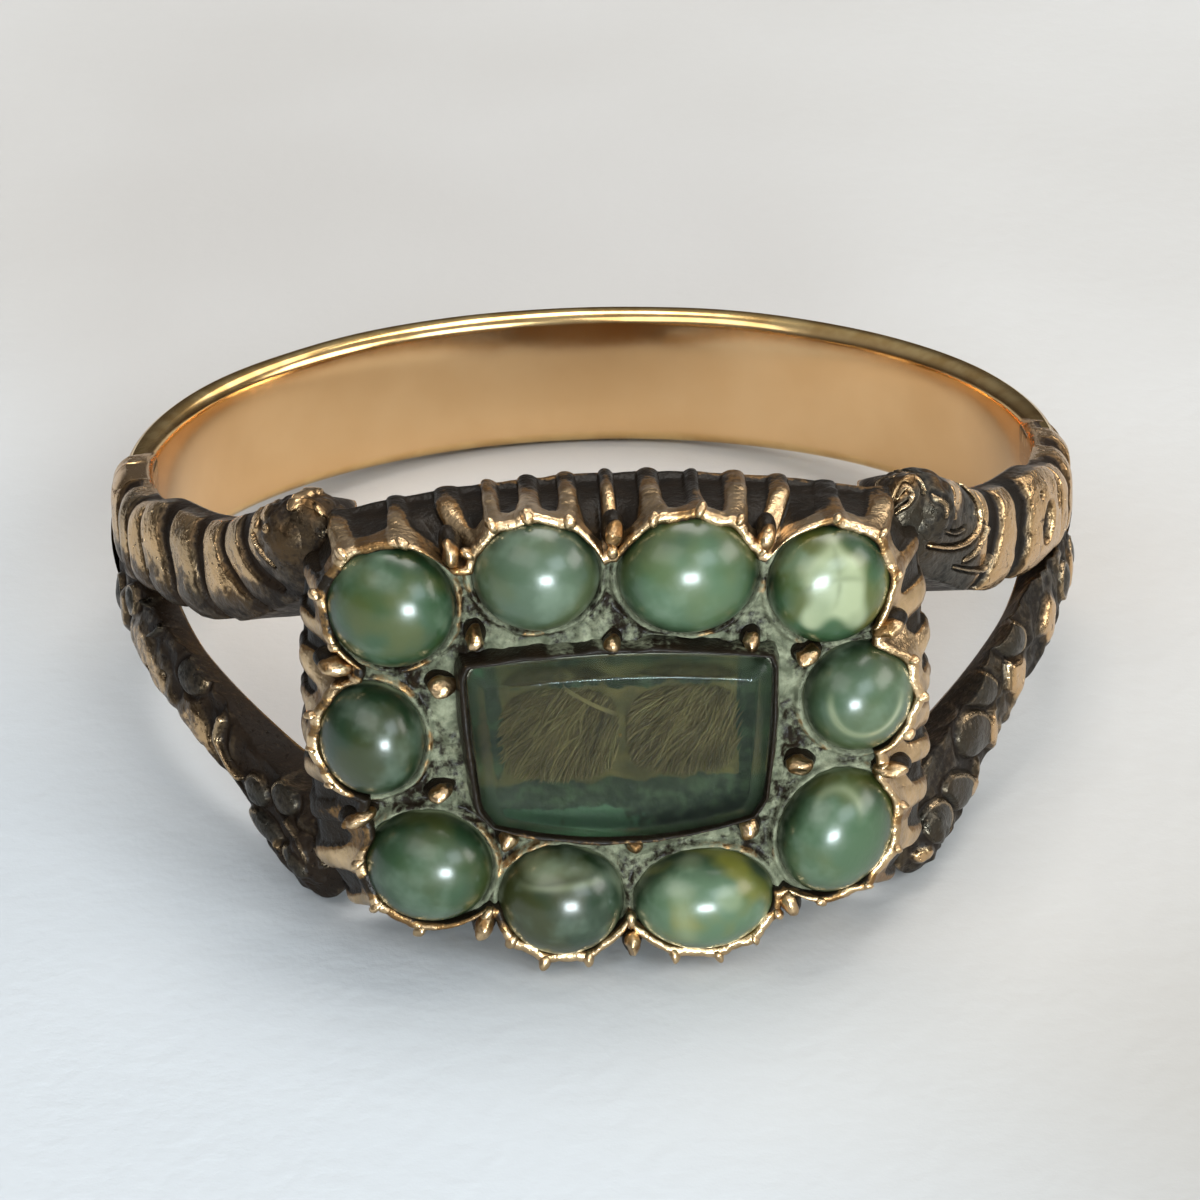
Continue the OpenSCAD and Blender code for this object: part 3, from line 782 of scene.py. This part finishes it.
def fork(side, upper):
    """One chased fork: a rounded strip from the band to the head, with its relief on the outside."""
    lengths, outer, edge, inner = ((300, 104, 9, 7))
    rows = fork_edges(upper)
    angle = np.linspace(FORK_START, FORK_END, lengths)[:, None]
    side_t = np.ones(edge)
    t = np.concatenate([np.linspace(-1, 1, outer), side_t, np.linspace(1, -1, inner), -side_t])[None, :]
    # how far in from the outer face each point of the section lies: 0 outside, 1 at the finger hole
    ramp = np.linspace(0, 1, edge + 2)[1:-1]
    inward = np.concatenate([np.zeros(outer), ramp, np.ones(inner), ramp[::-1]])[None, :]
    # the two forks run into each other near the band
    joined = 1 - 0.75 * step(112, 100, angle) * ((t < 0) if upper else (t > 0))
    crown = joined * (0.34 if upper else np.where(t > 0, 0.14, 0.22)) * np.abs(t) ** 3.5
    r = np.interp(angle, FORK_ANGLES, FORK_RADII) - 0.02 - crown
    r = r + (BORE_R - r) * inward
    rads = np.radians(angle)
    low, high = (np.interp(r * np.cos(rads), rows[:, 0], rows[:, i]) for i in (1, 2))
    if not upper:  # its top slopes down towards the finger hole
        part = step(-2.4, -4.2, r * np.cos(rads)) * step(-9.3, -7.6, r * np.cos(rads))
        high = high + part * (LOWER_LIFT[side] - (LOWER_LIFT[side] + 0.22) * inward)
    z = (low + high) / 2 + (high - low) / 2 * t
    p = np.stack([side * r * np.sin(rads), r * np.cos(rads), z], -1)
    relief = chasing(side, upper, rows, p)
    shown = (1 - inward) ** 2
    # it runs out into the band
    sunk = step(FORK_START + 3, FORK_START, angle)
    r = r + CHASE_T * relief.height * shown * (1 - sunk) - 0.06 * sunk * (1 - inward)
    narrow = 1 - 0.05 * (1 - relief.height) * shown * step(0.86, 1.0, np.abs(t)) * (1 if upper else 0)
    z = (low + high) / 2 + (high - low) / 2 * t * narrow
    if upper:  # near the band its edge at the finger hole is rounded like the band's
        z = z - 0.28 * step(102, 86, angle) * np.clip((inward - 0.4) / 0.6, 0, 1) ** 3 * step(0.7, 1, t)
    z = z + (np.clip(z, 0.03 - BAND_W / 2, BAND_W / 2 - 0.03) - z) * sunk
    # the fork's end is rounded off where it meets the head
    close = np.sqrt(np.clip(1 - np.clip((angle - FORK_END + 4) / 4.02, 0, 1) ** 2, 0, 1))
    middle_r, middle_z = np.mean(r, axis=1, keepdims=True), np.mean(z, axis=1, keepdims=True)
    r, z = middle_r + (r - middle_r) * close, middle_z + (z - middle_z) * close
    p = np.stack([side * r * np.sin(rads), r * np.cos(rads), z], -1)
    # the top side near the band is still polished, and so are the finger hole and the thin edge beside it
    top = inward * (t > 0.99)
    plain = 0.9 * step(104, 101, angle) * (top > 0.02) * upper + 0.06
    line = bell(inward - 0.96, 0.06) * (t > 0.99) * (0.95 if side > 0 else 0.75) * upper
    inside = 0.85 * (inward > 0.98)
    wear = relief.wear * shown + (1 - shown) * most(plain, line, inside)
    gilt = relief.gilt * shown + (1 - shown) * np.where(np.maximum(plain, inside) > 0.5, 1.0, 0.5)
    return p, wear, gilt


def bud(side, upper):
    """The rounded end of a fork at the head, chased like the fork."""
    rings, sides = ((50, 90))
    angle, height, r = UPPER_BUD if upper else LOWER_BUD
    stretch = np.array((1.0, 0.85, 0.95) if upper else (0.85, 0.85, 0.9))
    lat = np.linspace(-math.pi / 2, math.pi / 2, rings)[:, None]
    lon = circle(sides)[None, :]
    d = np.stack([np.cos(lat) * np.cos(lon), np.cos(lat) * np.sin(lon), np.sin(lat) + 0 * lon], -1)
    c, s = cos_sin(angle)
    centre = np.array([side * r * s, r * c, height])
    relief = chasing(side, upper, fork_edges(upper), centre + d * stretch * BUD_SIZE)
    lumps = 0.05 * noise(d * 2, 0.5, 40 + upper) + 0.12 * (relief.height - 0.7)
    return centre + d * stretch * (BUD_SIZE + lumps)[..., None], relief.wear, relief.gilt


# ---- head


def scallop_reach(turn):
    """Distance from the middle of the face to the scalloped rim that follows the pearls."""
    reach = 0.86 * arc_reach(WALL_ARCS, turn)
    for x, z, w, h, tilt, _ in PEARLS:
        c, s = cos_sin(tilt)
        a, b = w / 2 + RIM_WALL, h / 2 + RIM_WALL
        # the ray and the pearl's middle, in the pearl's own frame, scaled to a unit circle
        du, dv = (np.cos(turn) * c + np.sin(turn) * s) / a, (-np.cos(turn) * s + np.sin(turn) * c) / b
        ou, ov = -(x * c + z * s) / a, -(-x * s + z * c) / b
        qa, qb, qc = du**2 + dv**2, 2 * (ou * du + ov * dv), ou**2 + ov**2 - 1
        root = qb**2 - 4 * qa * qc
        far = np.where(root > 0, (-qb + np.sqrt(np.maximum(root, 0))) / (2 * qa), 0)
        reach = np.maximum(reach, far)
    return reach


def pearl_distance(x, z):
    """Rough distance from the outline of the nearest pearl, positive between the pearls."""
    nearest = np.full(np.shape(x), 9.0)
    for px, pz, w, h, tilt, _ in PEARLS:
        c, s = cos_sin(tilt)
        u, v = (x - px) * c + (z - pz) * s, -(x - px) * s + (z - pz) * c
        nearest = np.minimum(nearest, (np.hypot(u / (w / 2), v / (h / 2)) - 1) * (w + h) / 4)
    return nearest


def rib_turns():
    """The ribs' directions from the middle of the head, unevenly spaced as by hand."""
    even = 360 * (np.arange(RIB_COUNT) + 0.5) / RIB_COUNT
    even = even + 1.3 * np.sin(5.1 * even) + 0.9 * np.sin(2.3 * even + 1)
    return np.radians(even - 4 * np.sin(np.radians(2 * even)))


def head_wall():
    """The carved side wall: ribs that widen into the scalloped lip, with dark hollows, and the flat back."""
    around, up = ((1360, 44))
    shape = Shape()
    turn = circle(around)[:, None]
    rise = np.linspace(0, 1, up)[None, :]
    wall = arc_reach(WALL_ARCS, turn)
    place = head_points(*spin(wall, turn), HEAD_BACK + rise * (HEAD_FACE - HEAD_BACK))
    ribs, near = np.zeros((around, up)), np.full((around, 1), 9.0)
    for k, t in enumerate(rib_turns()):
        far = np.abs((turn - t + np.pi) % (2 * np.pi) - np.pi) * wall
        width = 0.17 + 0.04 * math.sin(3.7 * k) + 0.1 * step(0.5, 1.0, rise)
        width = width * (1 + 0.45 * math.cos(t) ** 4)
        rib = np.sqrt(np.clip(1 - (far / width) ** 2, 0, 1)) * (1 + 0.1 * math.sin(2.1 * k))
        ribs = np.maximum(ribs, rib)
        near = np.minimum(near, far)
    edge = 0.9 - 0.16 * np.cos(turn) ** 2 - 0.14 * bell(near, 0.28) - 0.09 * noise(place[:, -1:], 1.1, 8)
    lip = step(edge - 0.05, edge + 0.03, rise)
    bead = step(0.09, 0.03, rise)
    carved = most(ribs, 0.6 * lip, 0.5 * bead)
    lean = step(0.3, 1.0, rise) ** 1.1
    rim = scallop_reach(turn)
    reach = (1 - lean) * (wall - 0.02) + lean * (rim - 0.13) + 0.15 * carved + 0.02 * noise(place, 0.25, 9)
    x, z = spin(reach, turn)
    outside = head_points(x, z, HEAD_BACK + rise * (face_at(x) - HEAD_BACK))
    # over the lip and down behind it
    inset, lift = np.array([[0.04, 0.1, 0.17, 0.22, 0.24]]), np.array([[0.04, 0.055, 0.045, -0.02, -0.25]])
    x, z = spin(reach[:, -1:] - inset, turn)
    uneven = 0.035 * noise(place[:, -1:], 0.4, 11)
    over = head_points(x, z, face_at(x) + lift + uneven * (lift > 0))
    wear = 0.03 + most(ribs * (0.26 + 0.68 * step(0.12, 0.55, rise)), lip * 0.95, bead * 0.3)
    wear = np.hstack([wear, np.broadcast_to([[0.95, 0.95, 0.85, 0.4, 0.05]], (around, 5))])
    wear = wear + 0.12 * noise(place[:, :1], 0.7, 24) - 0.12 * step(0.3, 0.9, -np.cos(turn))
    wear = wear - 0.55 * step(0.0, 0.6, noise(place[:, :1], 0.4, 31))
    # at the left the dark hollows run on over the lip
    wear = wear - 0.5 * step(0.3, 0.9, -np.cos(turn)) * step(0.95, 0.6, ribs[:, -1:])
    shape.grid(np.concatenate([outside, over], 1), along=True, wear=wear)
    # the flat back, from the wall to the middle
    reach = reach[:, :1] * np.linspace(1, 0.001, 10)[None, :]
    shape.grid(head_points(*spin(reach, turn), HEAD_BACK), along=True, wear=0.5)
    # the ribs' tips, pushed over the pearls
    for k, t in enumerate(rib_turns()):
        reach = float(scallop_reach(np.array(t))) - 0.02 - 0.03 * math.sin(4.3 * k)
        x, z = spin(reach, t)
        size = 0.11 + 0.02 * math.sin(5.9 * k)
        p = dome(x, z, face_at(x) - 0.02, size * 1.35, size * 0.85, 0.14, t, 8, 14)
        shape.grid(p + 0.03 * noise(p, 0.15, 23)[..., None], around=True, wear=1.0)
    return shape


def face_plate():
    """The sunk floor between the stones, with the metal pushed up round each pearl."""
    pitch = 0.04
    x, z = np.meshgrid(np.arange(-5.6, 5.6, pitch), np.arange(-4.5, 4.5, pitch), indexing="ij")
    keep = np.hypot(x, z) < scallop_reach(np.arctan2(z, x)) - 0.06
    e = pearl_distance(x, z)
    place = head_points(x, z, 0)
    rough = noise(place, 0.28, 13) + 0.5 * noise(place, 0.13, 28)
    lip = bell(e - 0.07, 0.07) * (0.2 + 0.1 * noise(place, 0.5, 14))
    web = 0.18 * step(0.1, 0.45, e) * (0.6 + 0.5 * rough)
    depth = face_at(x) - PLATE_DOWN + lip + web + 0.05 * noise(place, 0.14, 15)
    depth = np.where(e < -0.02, face_at(x) - POCKET_T, depth)
    wear = 0.08 + 0.6 * bell(e - 0.09, 0.06) * step(0.0, 0.6, noise(place, 0.5, 16))
    green = bell(e, 0.15) * (0.66 + 0.5 * noise(place, 0.7, 17))
    spread = 0.48 + 0.06 * step(-2, 4, x) + 0.24 * noise(place, 0.55, 25) + 0.12 * noise(place, 0.2, 29)
    rim_glass = np.hypot(x, z - GLASS_Z) - arc_reach(GLASS_ARCS, np.arctan2(z - GLASS_Z, x), COLLET_WALL)
    keep = keep & (rim_glass > -0.12)
    green = most(green, spread, bell(rim_glass, 0.13) * (0.62 + 0.5 * noise(place, 0.6, 18)))
    return Shape().grid(head_points(x, z, depth), keep=keep, wear=wear, green=green)


def grains():
    """The grains pushed over the pearls: one inside and one outside each gap."""
    shape = Shape()
    rings, sides = ((16, 28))
    for i, a in enumerate(PEARLS):
        b = PEARLS[(i + 1) % len(PEARLS)]
        dx, dz = b[0] - a[0], b[1] - a[1]
        length = math.hypot(dx, dz)
        out = (-dz / length, dx / length)
        for reach, size, long in ((GRAIN_OUT, 0.16, 1.8), (-a[5], 0.17, 1.3)):
            x, z = (a[0] + b[0]) / 2 + reach * out[0], (a[1] + b[1]) / 2 + reach * out[1]
            lean = math.atan2(out[1], out[0])
            across, tall = size * (long + 0.25 * math.sin(5 * i)), size * (0.95 + 0.1 * math.sin(3 * i))
            p = dome(x, z, face_at(x) - 0.06, across, tall, 0.26, lean, rings, sides)
            p = p + 0.05 * noise(p, 0.18, 19)[..., None]
            top = np.linspace(1, 0, rings)[:, None]
            shape.grid(p, around=True, wear=0.12 + 0.56 * step(0.05, 0.6, top) + 0.3 * noise(p, 0.2, 26))
            foot = dome(x, z, face_at(x) - 0.42, across * 1.3, tall * 1.35, 0.4, lean, rings, sides)
            shape.grid(foot, around=True, wear=0.12)
    return shape


def collet():
    """The thin dark wall that holds the glass."""
    around = 560
    turn = circle(around)[:, None]
    top = HEAD_FACE + COLLET_T
    # its section, from the foot outside over the top and down beside the glass
    grow = np.array([[0.2, 0.17, 0.135, 0.1, 0.06, 0.03, 0.015]])
    depth = top + np.array([[-0.65, -0.32, -0.12, -0.03, -0.02, -0.07, -0.5]])
    place = head_points(3 * np.cos(turn), 2 * np.sin(turn), 0)
    reach = arc_reach(GLASS_ARCS, turn) + grow * (1 + 0.3 * noise(place, 0.5, 20) * (grow > 0.05))
    x, z = spin(reach, turn)
    p = head_points(x, GLASS_Z + z, depth + 0.05 * noise(place, 0.4, 21))
    # painted highlight: brighter along the collet's lower side
    low = step(-0.3, -0.8, np.sin(turn)) * (1 + noise(place, 0.5, 27))
    wear = np.array([[0.05, 0.08, 0.14, 0.16, 0.14, 0.08, 0.0]]) * (1 + 0.7 * low)
    green = np.array([[0.7, 0.6, 0.5, 0.3, 0.2, 0.2, 0.3]]) * (0.7 + 0.7 * noise(place, 0.5, 22))
    return Shape().grid(p, along=True, wear=wear, green=green)


# ---- pearls, glass and hair


def pearl(index):
    """One half pearl: an uneven dome with a flat back."""
    x0, z0, w, h, tilt, _ = PEARLS[index]
    rings, sides = ((52, 110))
    lift = np.linspace(math.pi / 2, 0, rings)[:, None]
    turn = circle(sides)[None, :]
    u, v, out = np.cos(lift) * np.cos(turn), np.cos(lift) * np.sin(turn), np.sin(lift) + 0 * turn
    d = np.stack([u, v, out], -1)
    lump = 1 + 0.018 * noise(d, 0.9, 30 + index) * np.cos(lift)
    crown = out.copy()
    # a pale deposit clings to the foot
    cream = 0.75 * step(0.16, 0.03, out + 0.1 * noise(d, 0.35, 60 + index))
    crack = np.zeros(u.shape)
    if index == 3:  # worn flat, chalky and cracked
        out = out - 0.06 * step(0.85, 0.15, np.hypot(u - 0.08, v + 0.1))
        square = (np.abs((u + 0.02) / 0.56) ** 2.5 + np.abs((v - 0.02) / 0.66) ** 2.5) ** 0.4
        worn = step(1.1, 0.7, square + 0.4 * noise(d, 0.45, 71)) * (0.75 + 0.3 * step(-0.2, 0.3, u))
        cream = np.maximum(cream, worn * (0.95 + 0.4 * noise(d, 0.25, 70)))
        crack = bell(v - 0.2 * u - 0.3 + 0.5 * (u + 0.1) ** 2, 0.05)
        crack = crack * step(0.7, 0.5, np.hypot(u, v - 0.4))
        other = bell(u - 0.1 + 0.4 * (v - 0.3) ** 2, 0.05) * step(0.6, 0.4, np.abs(v - 0.35))
        crack = np.clip(np.maximum(0.7 * crack, 0.5 * other) * (0.6 + 0.6 * noise(d, 0.2, 72)), 0, 1)
    if index == 4:  # a broken outer layer that ends in a crescent
        edge = np.hypot(u - 0.06, v - 0.2) - 0.63
        out = out - 0.04 * step(-0.05, 0.05, edge) * step(0.3, -0.2, v)
        cream = np.maximum(cream, 0.75 * bell(edge, 0.06) * step(0.45, -0.1, v + 0.1 * u))
    if index in (6, 7):  # glassy, with the edge of a deeper layer showing
        edge = np.hypot(u * 0.95, (v + 0.06) * 1.05) - 0.84 + 0.03 * noise(d, 0.5, 51)
        haze = 0.25 * bell(edge, 0.05) * step(0.2, -0.6, v) + 0.35 * step(0.1, 0.7, noise(d, 0.6, 50 + index))
        streak = 0.35 * (index == 6) * bell(u + 0.34 + 0.12 * v, 0.16) * step(0.8, 0.4, np.abs(v))
        cream = most(cream, haze, streak)
    if index == 7:  # a pale line across it
        cream = np.maximum(cream, 0.28 * bell(v - 0.52 - 0.06 * u, 0.06) * step(0.8, 0.4, np.abs(u)))
    if index == 5:  # a short arc near its top
        arc = np.hypot(u + 0.25, v - 0.35) - 0.42
        cream = np.maximum(cream, 0.42 * bell(arc, 0.06) * step(0.3, 0.7, v) * step(0.3, -0.1, u))
    c, s = cos_sin(tilt)
    pu, pv = u * w / 2 * lump, v * h / 2 * lump
    base = face_at(x0) + GAP - POCKET_T
    slope = -x0 / math.sqrt(FACE_R**2 - x0**2)
    dx, dz = pu * c - pv * s, pu * s + pv * c
    p = head_points(x0 + dx, z0 + dz, base + slope * dx + out * PEARL_T * 0.985)
    shape = Shape().grid(p, around=True, crown=crown, cream=cream, crack=crack)
    back = np.linspace(1, 0.02, 5)[:, None]
    p = head_points(x0 + dx[-1] * back, z0 + dz[-1] * back, base + slope * dx[-1] * back)
    return shape.grid(p, around=True)


def glass():
    """The bevelled cover: flat back, upright sides, a bevel and a flat top."""
    around = 480
    turn = circle(around)
    wide = GLASS_BEVEL
    outline = arc_reach(GLASS_ARCS, turn)
    rings = [(outline * share, GLASS_BACK) for share in (0.02, 0.35, 0.7, 0.98, 1.0)]
    edge = [(0, wide + 0.04), (0.01, wide), (0.05, wide - 0.05), (wide - 0.04, 0.045), (wide, 0.008)]
    for inset, down in edge:
        rings.append((arc_reach(GLASS_ARCS, turn, -inset), GLASS_TOP - down))
    top = arc_reach(GLASS_ARCS, turn, -wide - 0.05)
    rings += [(top * share, GLASS_TOP) for share in (1.0, 0.95, 0.6, 0.3, 0.01)]
    reach = np.stack([r for r, _ in rings], -1)
    depth = np.array([d for _, d in rings])[None, :]
    x, z = spin(reach, turn[:, None])
    bevel = np.array([[0.0] * 6 + [0.5, 1.0, 1.0, 0.6, 0.1] + [0.0] * 4])
    return Shape().grid(head_points(x, GLASS_Z + z, depth), along=True, bevel=bevel)


def hair_card():
    """The card that the hair is laid on, stained green round its edge."""
    around = 300
    turn = circle(around)[:, None]
    outline = arc_reach(GLASS_ARCS, turn)
    reach = outline * np.linspace(0.01, 1, 48)[None, :]
    x, z = spin(reach, turn)
    level = GLASS_BACK - CARD_DOWN
    p = head_points(x, GLASS_Z + z, level)
    # distances from the left, top and lower edge
    left, top, foot = x + GLASS_SIDE, GLASS_HEAD - z, z + GLASS_FOOT
    specks = 0.7 * step(0.35, 0.6, noise(p, 0.35, 81)) * step(1.0, 0.5, np.minimum(top, left))
    sides = step(0.75, 0.5, GLASS_SIDE - np.abs(x))
    green = np.clip(most(sides, step(1.2, 0.8, foot), 0.8 * step(1.0, 0.65, top), specks), 0, 1)
    teal = np.maximum(step(0.62, 0.35, foot) * step(1.2, -0.6, x), step(0.45, 0.25, left)) * 0.9
    shape = Shape().grid(p, along=True, green=green, teal=teal)
    down = np.linspace(0, 1, 3)[None, :]
    x, z = spin(outline, turn)
    return shape.grid(head_points(x, GLASS_Z + z, level - 0.18 * down), along=True, green=1.0)


def hair():
    """Two lobes of fine strands, combed down and to the left, with a pale lock across the left one's top."""
    rng = np.random.default_rng(5)
    shape = Shape()
    t = np.linspace(-1, 1, 14)
    for i in range(720):
        x0, z0, across, tall = HAIR_LOBES[i % 2]
        cx, cz = rng.uniform(-1, 1, 2)
        slant = math.radians(235 + rng.normal(0, 6) + 18 * cx - 8 * cz)
        half = rng.uniform(0.35, 0.75)
        bend = rng.normal(0.1, 0.05)
        u, v = half * t, bend * (t * t - 0.5)
        x = x0 + cx * across + u * math.cos(slant) - v * math.sin(slant)
        z = z0 + cz * tall + u * math.sin(slant) + v * math.cos(slant)
        outside = (np.abs(x - x0) / across) ** 3 + (np.abs(z - z0) / tall) ** 3
        thick = (0.013 + 0.008 * rng.uniform() ** 3) * np.sqrt(np.clip(1 - t**4, 0, 1))
        thick = thick * step(1.12, 0.95, outside)
        level = GLASS_BACK - 0.135 + 0.075 * rng.uniform()
        path = head_points(x, GLASS_Z + z, level)
        tone = 0.25 + 0.5 * rng.uniform() ** 2 + 0.25 * float(noise(path[7], 0.4, 82))
        shape.grid(tube(path, thick, 5), around=True, tone=tone)
    s = np.linspace(0, 1, 14)
    for i in range(5):
        x, z = -1.0 + 0.95 * s, 0.96 - 0.55 * s + 0.018 * i - 0.05 * np.sin(np.pi * s)
        path = head_points(x, GLASS_Z + z, GLASS_BACK - 0.05)
        shape.grid(tube(path, 0.011 * np.sqrt(np.sin(np.pi * s) + 0.02), 5), around=True, tone=0.9)
    return shape


# ---- stage


def floor_material():
    """Pale paper, with painted cool light at the front left and painted shade at the front right."""
    n = surface("pale_floor")
    soft = n.noise(14, 2)
    split = n.add("ShaderNodeSeparateXYZ", i0=n.place())
    across = n.plus(split.outputs["X"], n.times(split.outputs["Y"], 0.7))
    # painted cool light: a bluish tint towards the front left
    out_of_cool_light = n.ramp(n.plus(across, n.times(soft, 0.004)), -0.014, 0.004)
    paper = n.mix(n.ramp(soft, 0.3, 0.7), (0.478, 0.469, 0.457), (0.508, 0.503, 0.495))
    # painted shade: darker towards the front right
    near = n.minus(split.outputs["X"], split.outputs["Y"])
    paper = n.mix(n.ramp(near, 0.012, 0.028), paper, (0.4, 0.386, 0.366))
    n.set(Base_Color=n.mix(out_of_cool_light, (0.5, 0.53, 0.56), paper), Roughness=0.85)
    n.set(Specular_IOR_Level=0.2, Normal=n.bump(n.noise(0.5, 4), 0.02))
    return n.owner


def make_stage():
    """The flat floor under the ring."""
    mesh = bpy.data.meshes.new("floor")
    half = 1.2
    corners = [(-half, -half, 0), (half, -half, 0), (half, half, 0), (-half, half, 0)]
    mesh.from_pydata(corners, [], [(0, 1, 2, 3)])
    mesh.materials.append(floor_material())
    floor = link("floor", mesh)


def lamp(name, azimuth, elevation, distance, size, power, colour):
    """A soft box aimed at the ring, in metres: azimuth is counted from the front to the right."""
    light = bpy.data.lights.new(name, "AREA")
    light.shape = "RECTANGLE"
    light.size, light.size_y = size
    light.energy, light.color = power, colour
    (ca, sa), (ce, se) = cos_sin(azimuth), cos_sin(elevation)
    obj = link(name, light)
    obj.location = (distance * sa * ce, -distance * ca * ce, distance * se)
    target = Vector((0.0, 0.0, 0.003))
    obj.rotation_euler = (target - obj.location).to_track_quat("-Z", "Y").to_euler()
    obj.visible_transmission = False


def make_lights():
    """A room that is bright overhead and dark towards the horizon, and six soft boxes."""
    n = Nodes(bpy.data.worlds.new("studio"), "Background")
    direction = n.add("ShaderNodeTexCoord").outputs["Generated"]
    height = n.add("ShaderNodeSeparateXYZ", i0=direction).outputs["Z"]
    sky = n.mix(n.ramp(height, 0.0, 0.75), (0.1, 0.075, 0.05), (1.02, 1.06, 1.12))
    n.set(Color=sky, Strength=0.3)
    bpy.context.scene.world = n.owner
    lamp("window", 36, 36, 0.45, (0.22, 0.18), 0.68, (0.8, 0.92, 1.0))
    lamp("fill", -38, 50, 0.45, (0.36, 0.26), 0.6, (1.0, 0.97, 0.93))
    lamp("side", 80, 26, 0.4, (0.24, 0.16), 0.62, (1.0, 0.96, 0.91))
    lamp("back_right", 135, 38, 0.5, (0.25, 0.2), 0.35, (1.0, 0.95, 0.88))
    lamp("low_front", 9, 9, 0.4, (0.13, 0.1), 2.3, (0.84, 0.95, 1.0))
    lamp("overhead", 155, 72, 0.45, (0.32, 0.2), 1.2, (1.0, 0.96, 0.9))
    bpy.context.scene.view_settings.view_transform = "Standard"


def make_camera():
    """The photograph's camera, looking at the ring as it lies."""
    e, a, roll = (math.radians(v) for v in (CAMERA_ELEVATION, CAMERA_AZIMUTH, CAMERA_ROLL))
    back = np.array([math.sin(a) * math.cos(e), -math.cos(a) * math.cos(e), math.sin(e)])
    right = np.cross([0, 0, 1.0], back)
    right /= np.linalg.norm(right)
    up = np.cross(back, right)
    right, up = math.cos(roll) * right + math.sin(roll) * up, -math.sin(roll) * right + math.cos(roll) * up
    place = back * CAMERA_DISTANCE + right * CAMERA_SIDE + up * CAMERA_RISE
    origin = to_row([0, 0, 0])
    axes = [(to_row(v) - origin) * 1000 for v in (right, up, back)]
    camera = link("camera", bpy.data.cameras.new("camera"))
    camera.data.lens = CAMERA_LENS
    camera.data.clip_start, camera.data.clip_end = 0.005, 10
    rows = [[*(axis[i] for axis in axes), to_row(place)[i]] for i in range(3)]
    camera.matrix_world = Matrix([*rows, [0, 0, 0, 1]])
    bpy.context.scene.camera = camera


def make_ring():
    """Builds every piece of the ring."""
    chased, rosy = chased_gold(), head_gold()
    band().build("band_metal", polished_gold(), "gold", "gold_ring")
    for side, name in ((-1, "left"), (1, "right")):
        shoulder = Shape()
        for upper in (True, False):
            for p, wear, gilt in (fork(side, upper), bud(side, upper)):
                shoulder.grid(p, around=True, wear=wear, gilt=gilt)
        shoulder.build(f"{name}_shoulder", chased, "gold")
    head_wall().build("head_wall", rosy, "gold")
    face_plate().build("face_plate", rosy, "gold")
    grains().build("grains", rosy, "gold")
    collet().build("collet", rosy, "gold")
    for i, look in enumerate(PEARL_LOOKS):
        node = f"pearl_{i + 1:02d}"
        pearl(i).build(f"{node}_nacre", nacre(f"nacre_{i + 1:02d}", *look), "pearl", node)
    glass().build("glass", glass_material(), "glass", "glass_cover")
    hair_card().build("hair_card", card_material(), "hair", "hair_panel")
    hair().build("hair", hair_material(), "hair")


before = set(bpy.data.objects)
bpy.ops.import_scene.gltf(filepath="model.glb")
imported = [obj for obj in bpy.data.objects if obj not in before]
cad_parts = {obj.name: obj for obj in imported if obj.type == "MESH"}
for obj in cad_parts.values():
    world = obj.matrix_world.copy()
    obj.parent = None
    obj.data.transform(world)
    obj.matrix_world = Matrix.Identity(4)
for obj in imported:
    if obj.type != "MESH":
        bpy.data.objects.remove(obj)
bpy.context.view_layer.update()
make_ring()
make_stage()
make_lights()
make_camera()
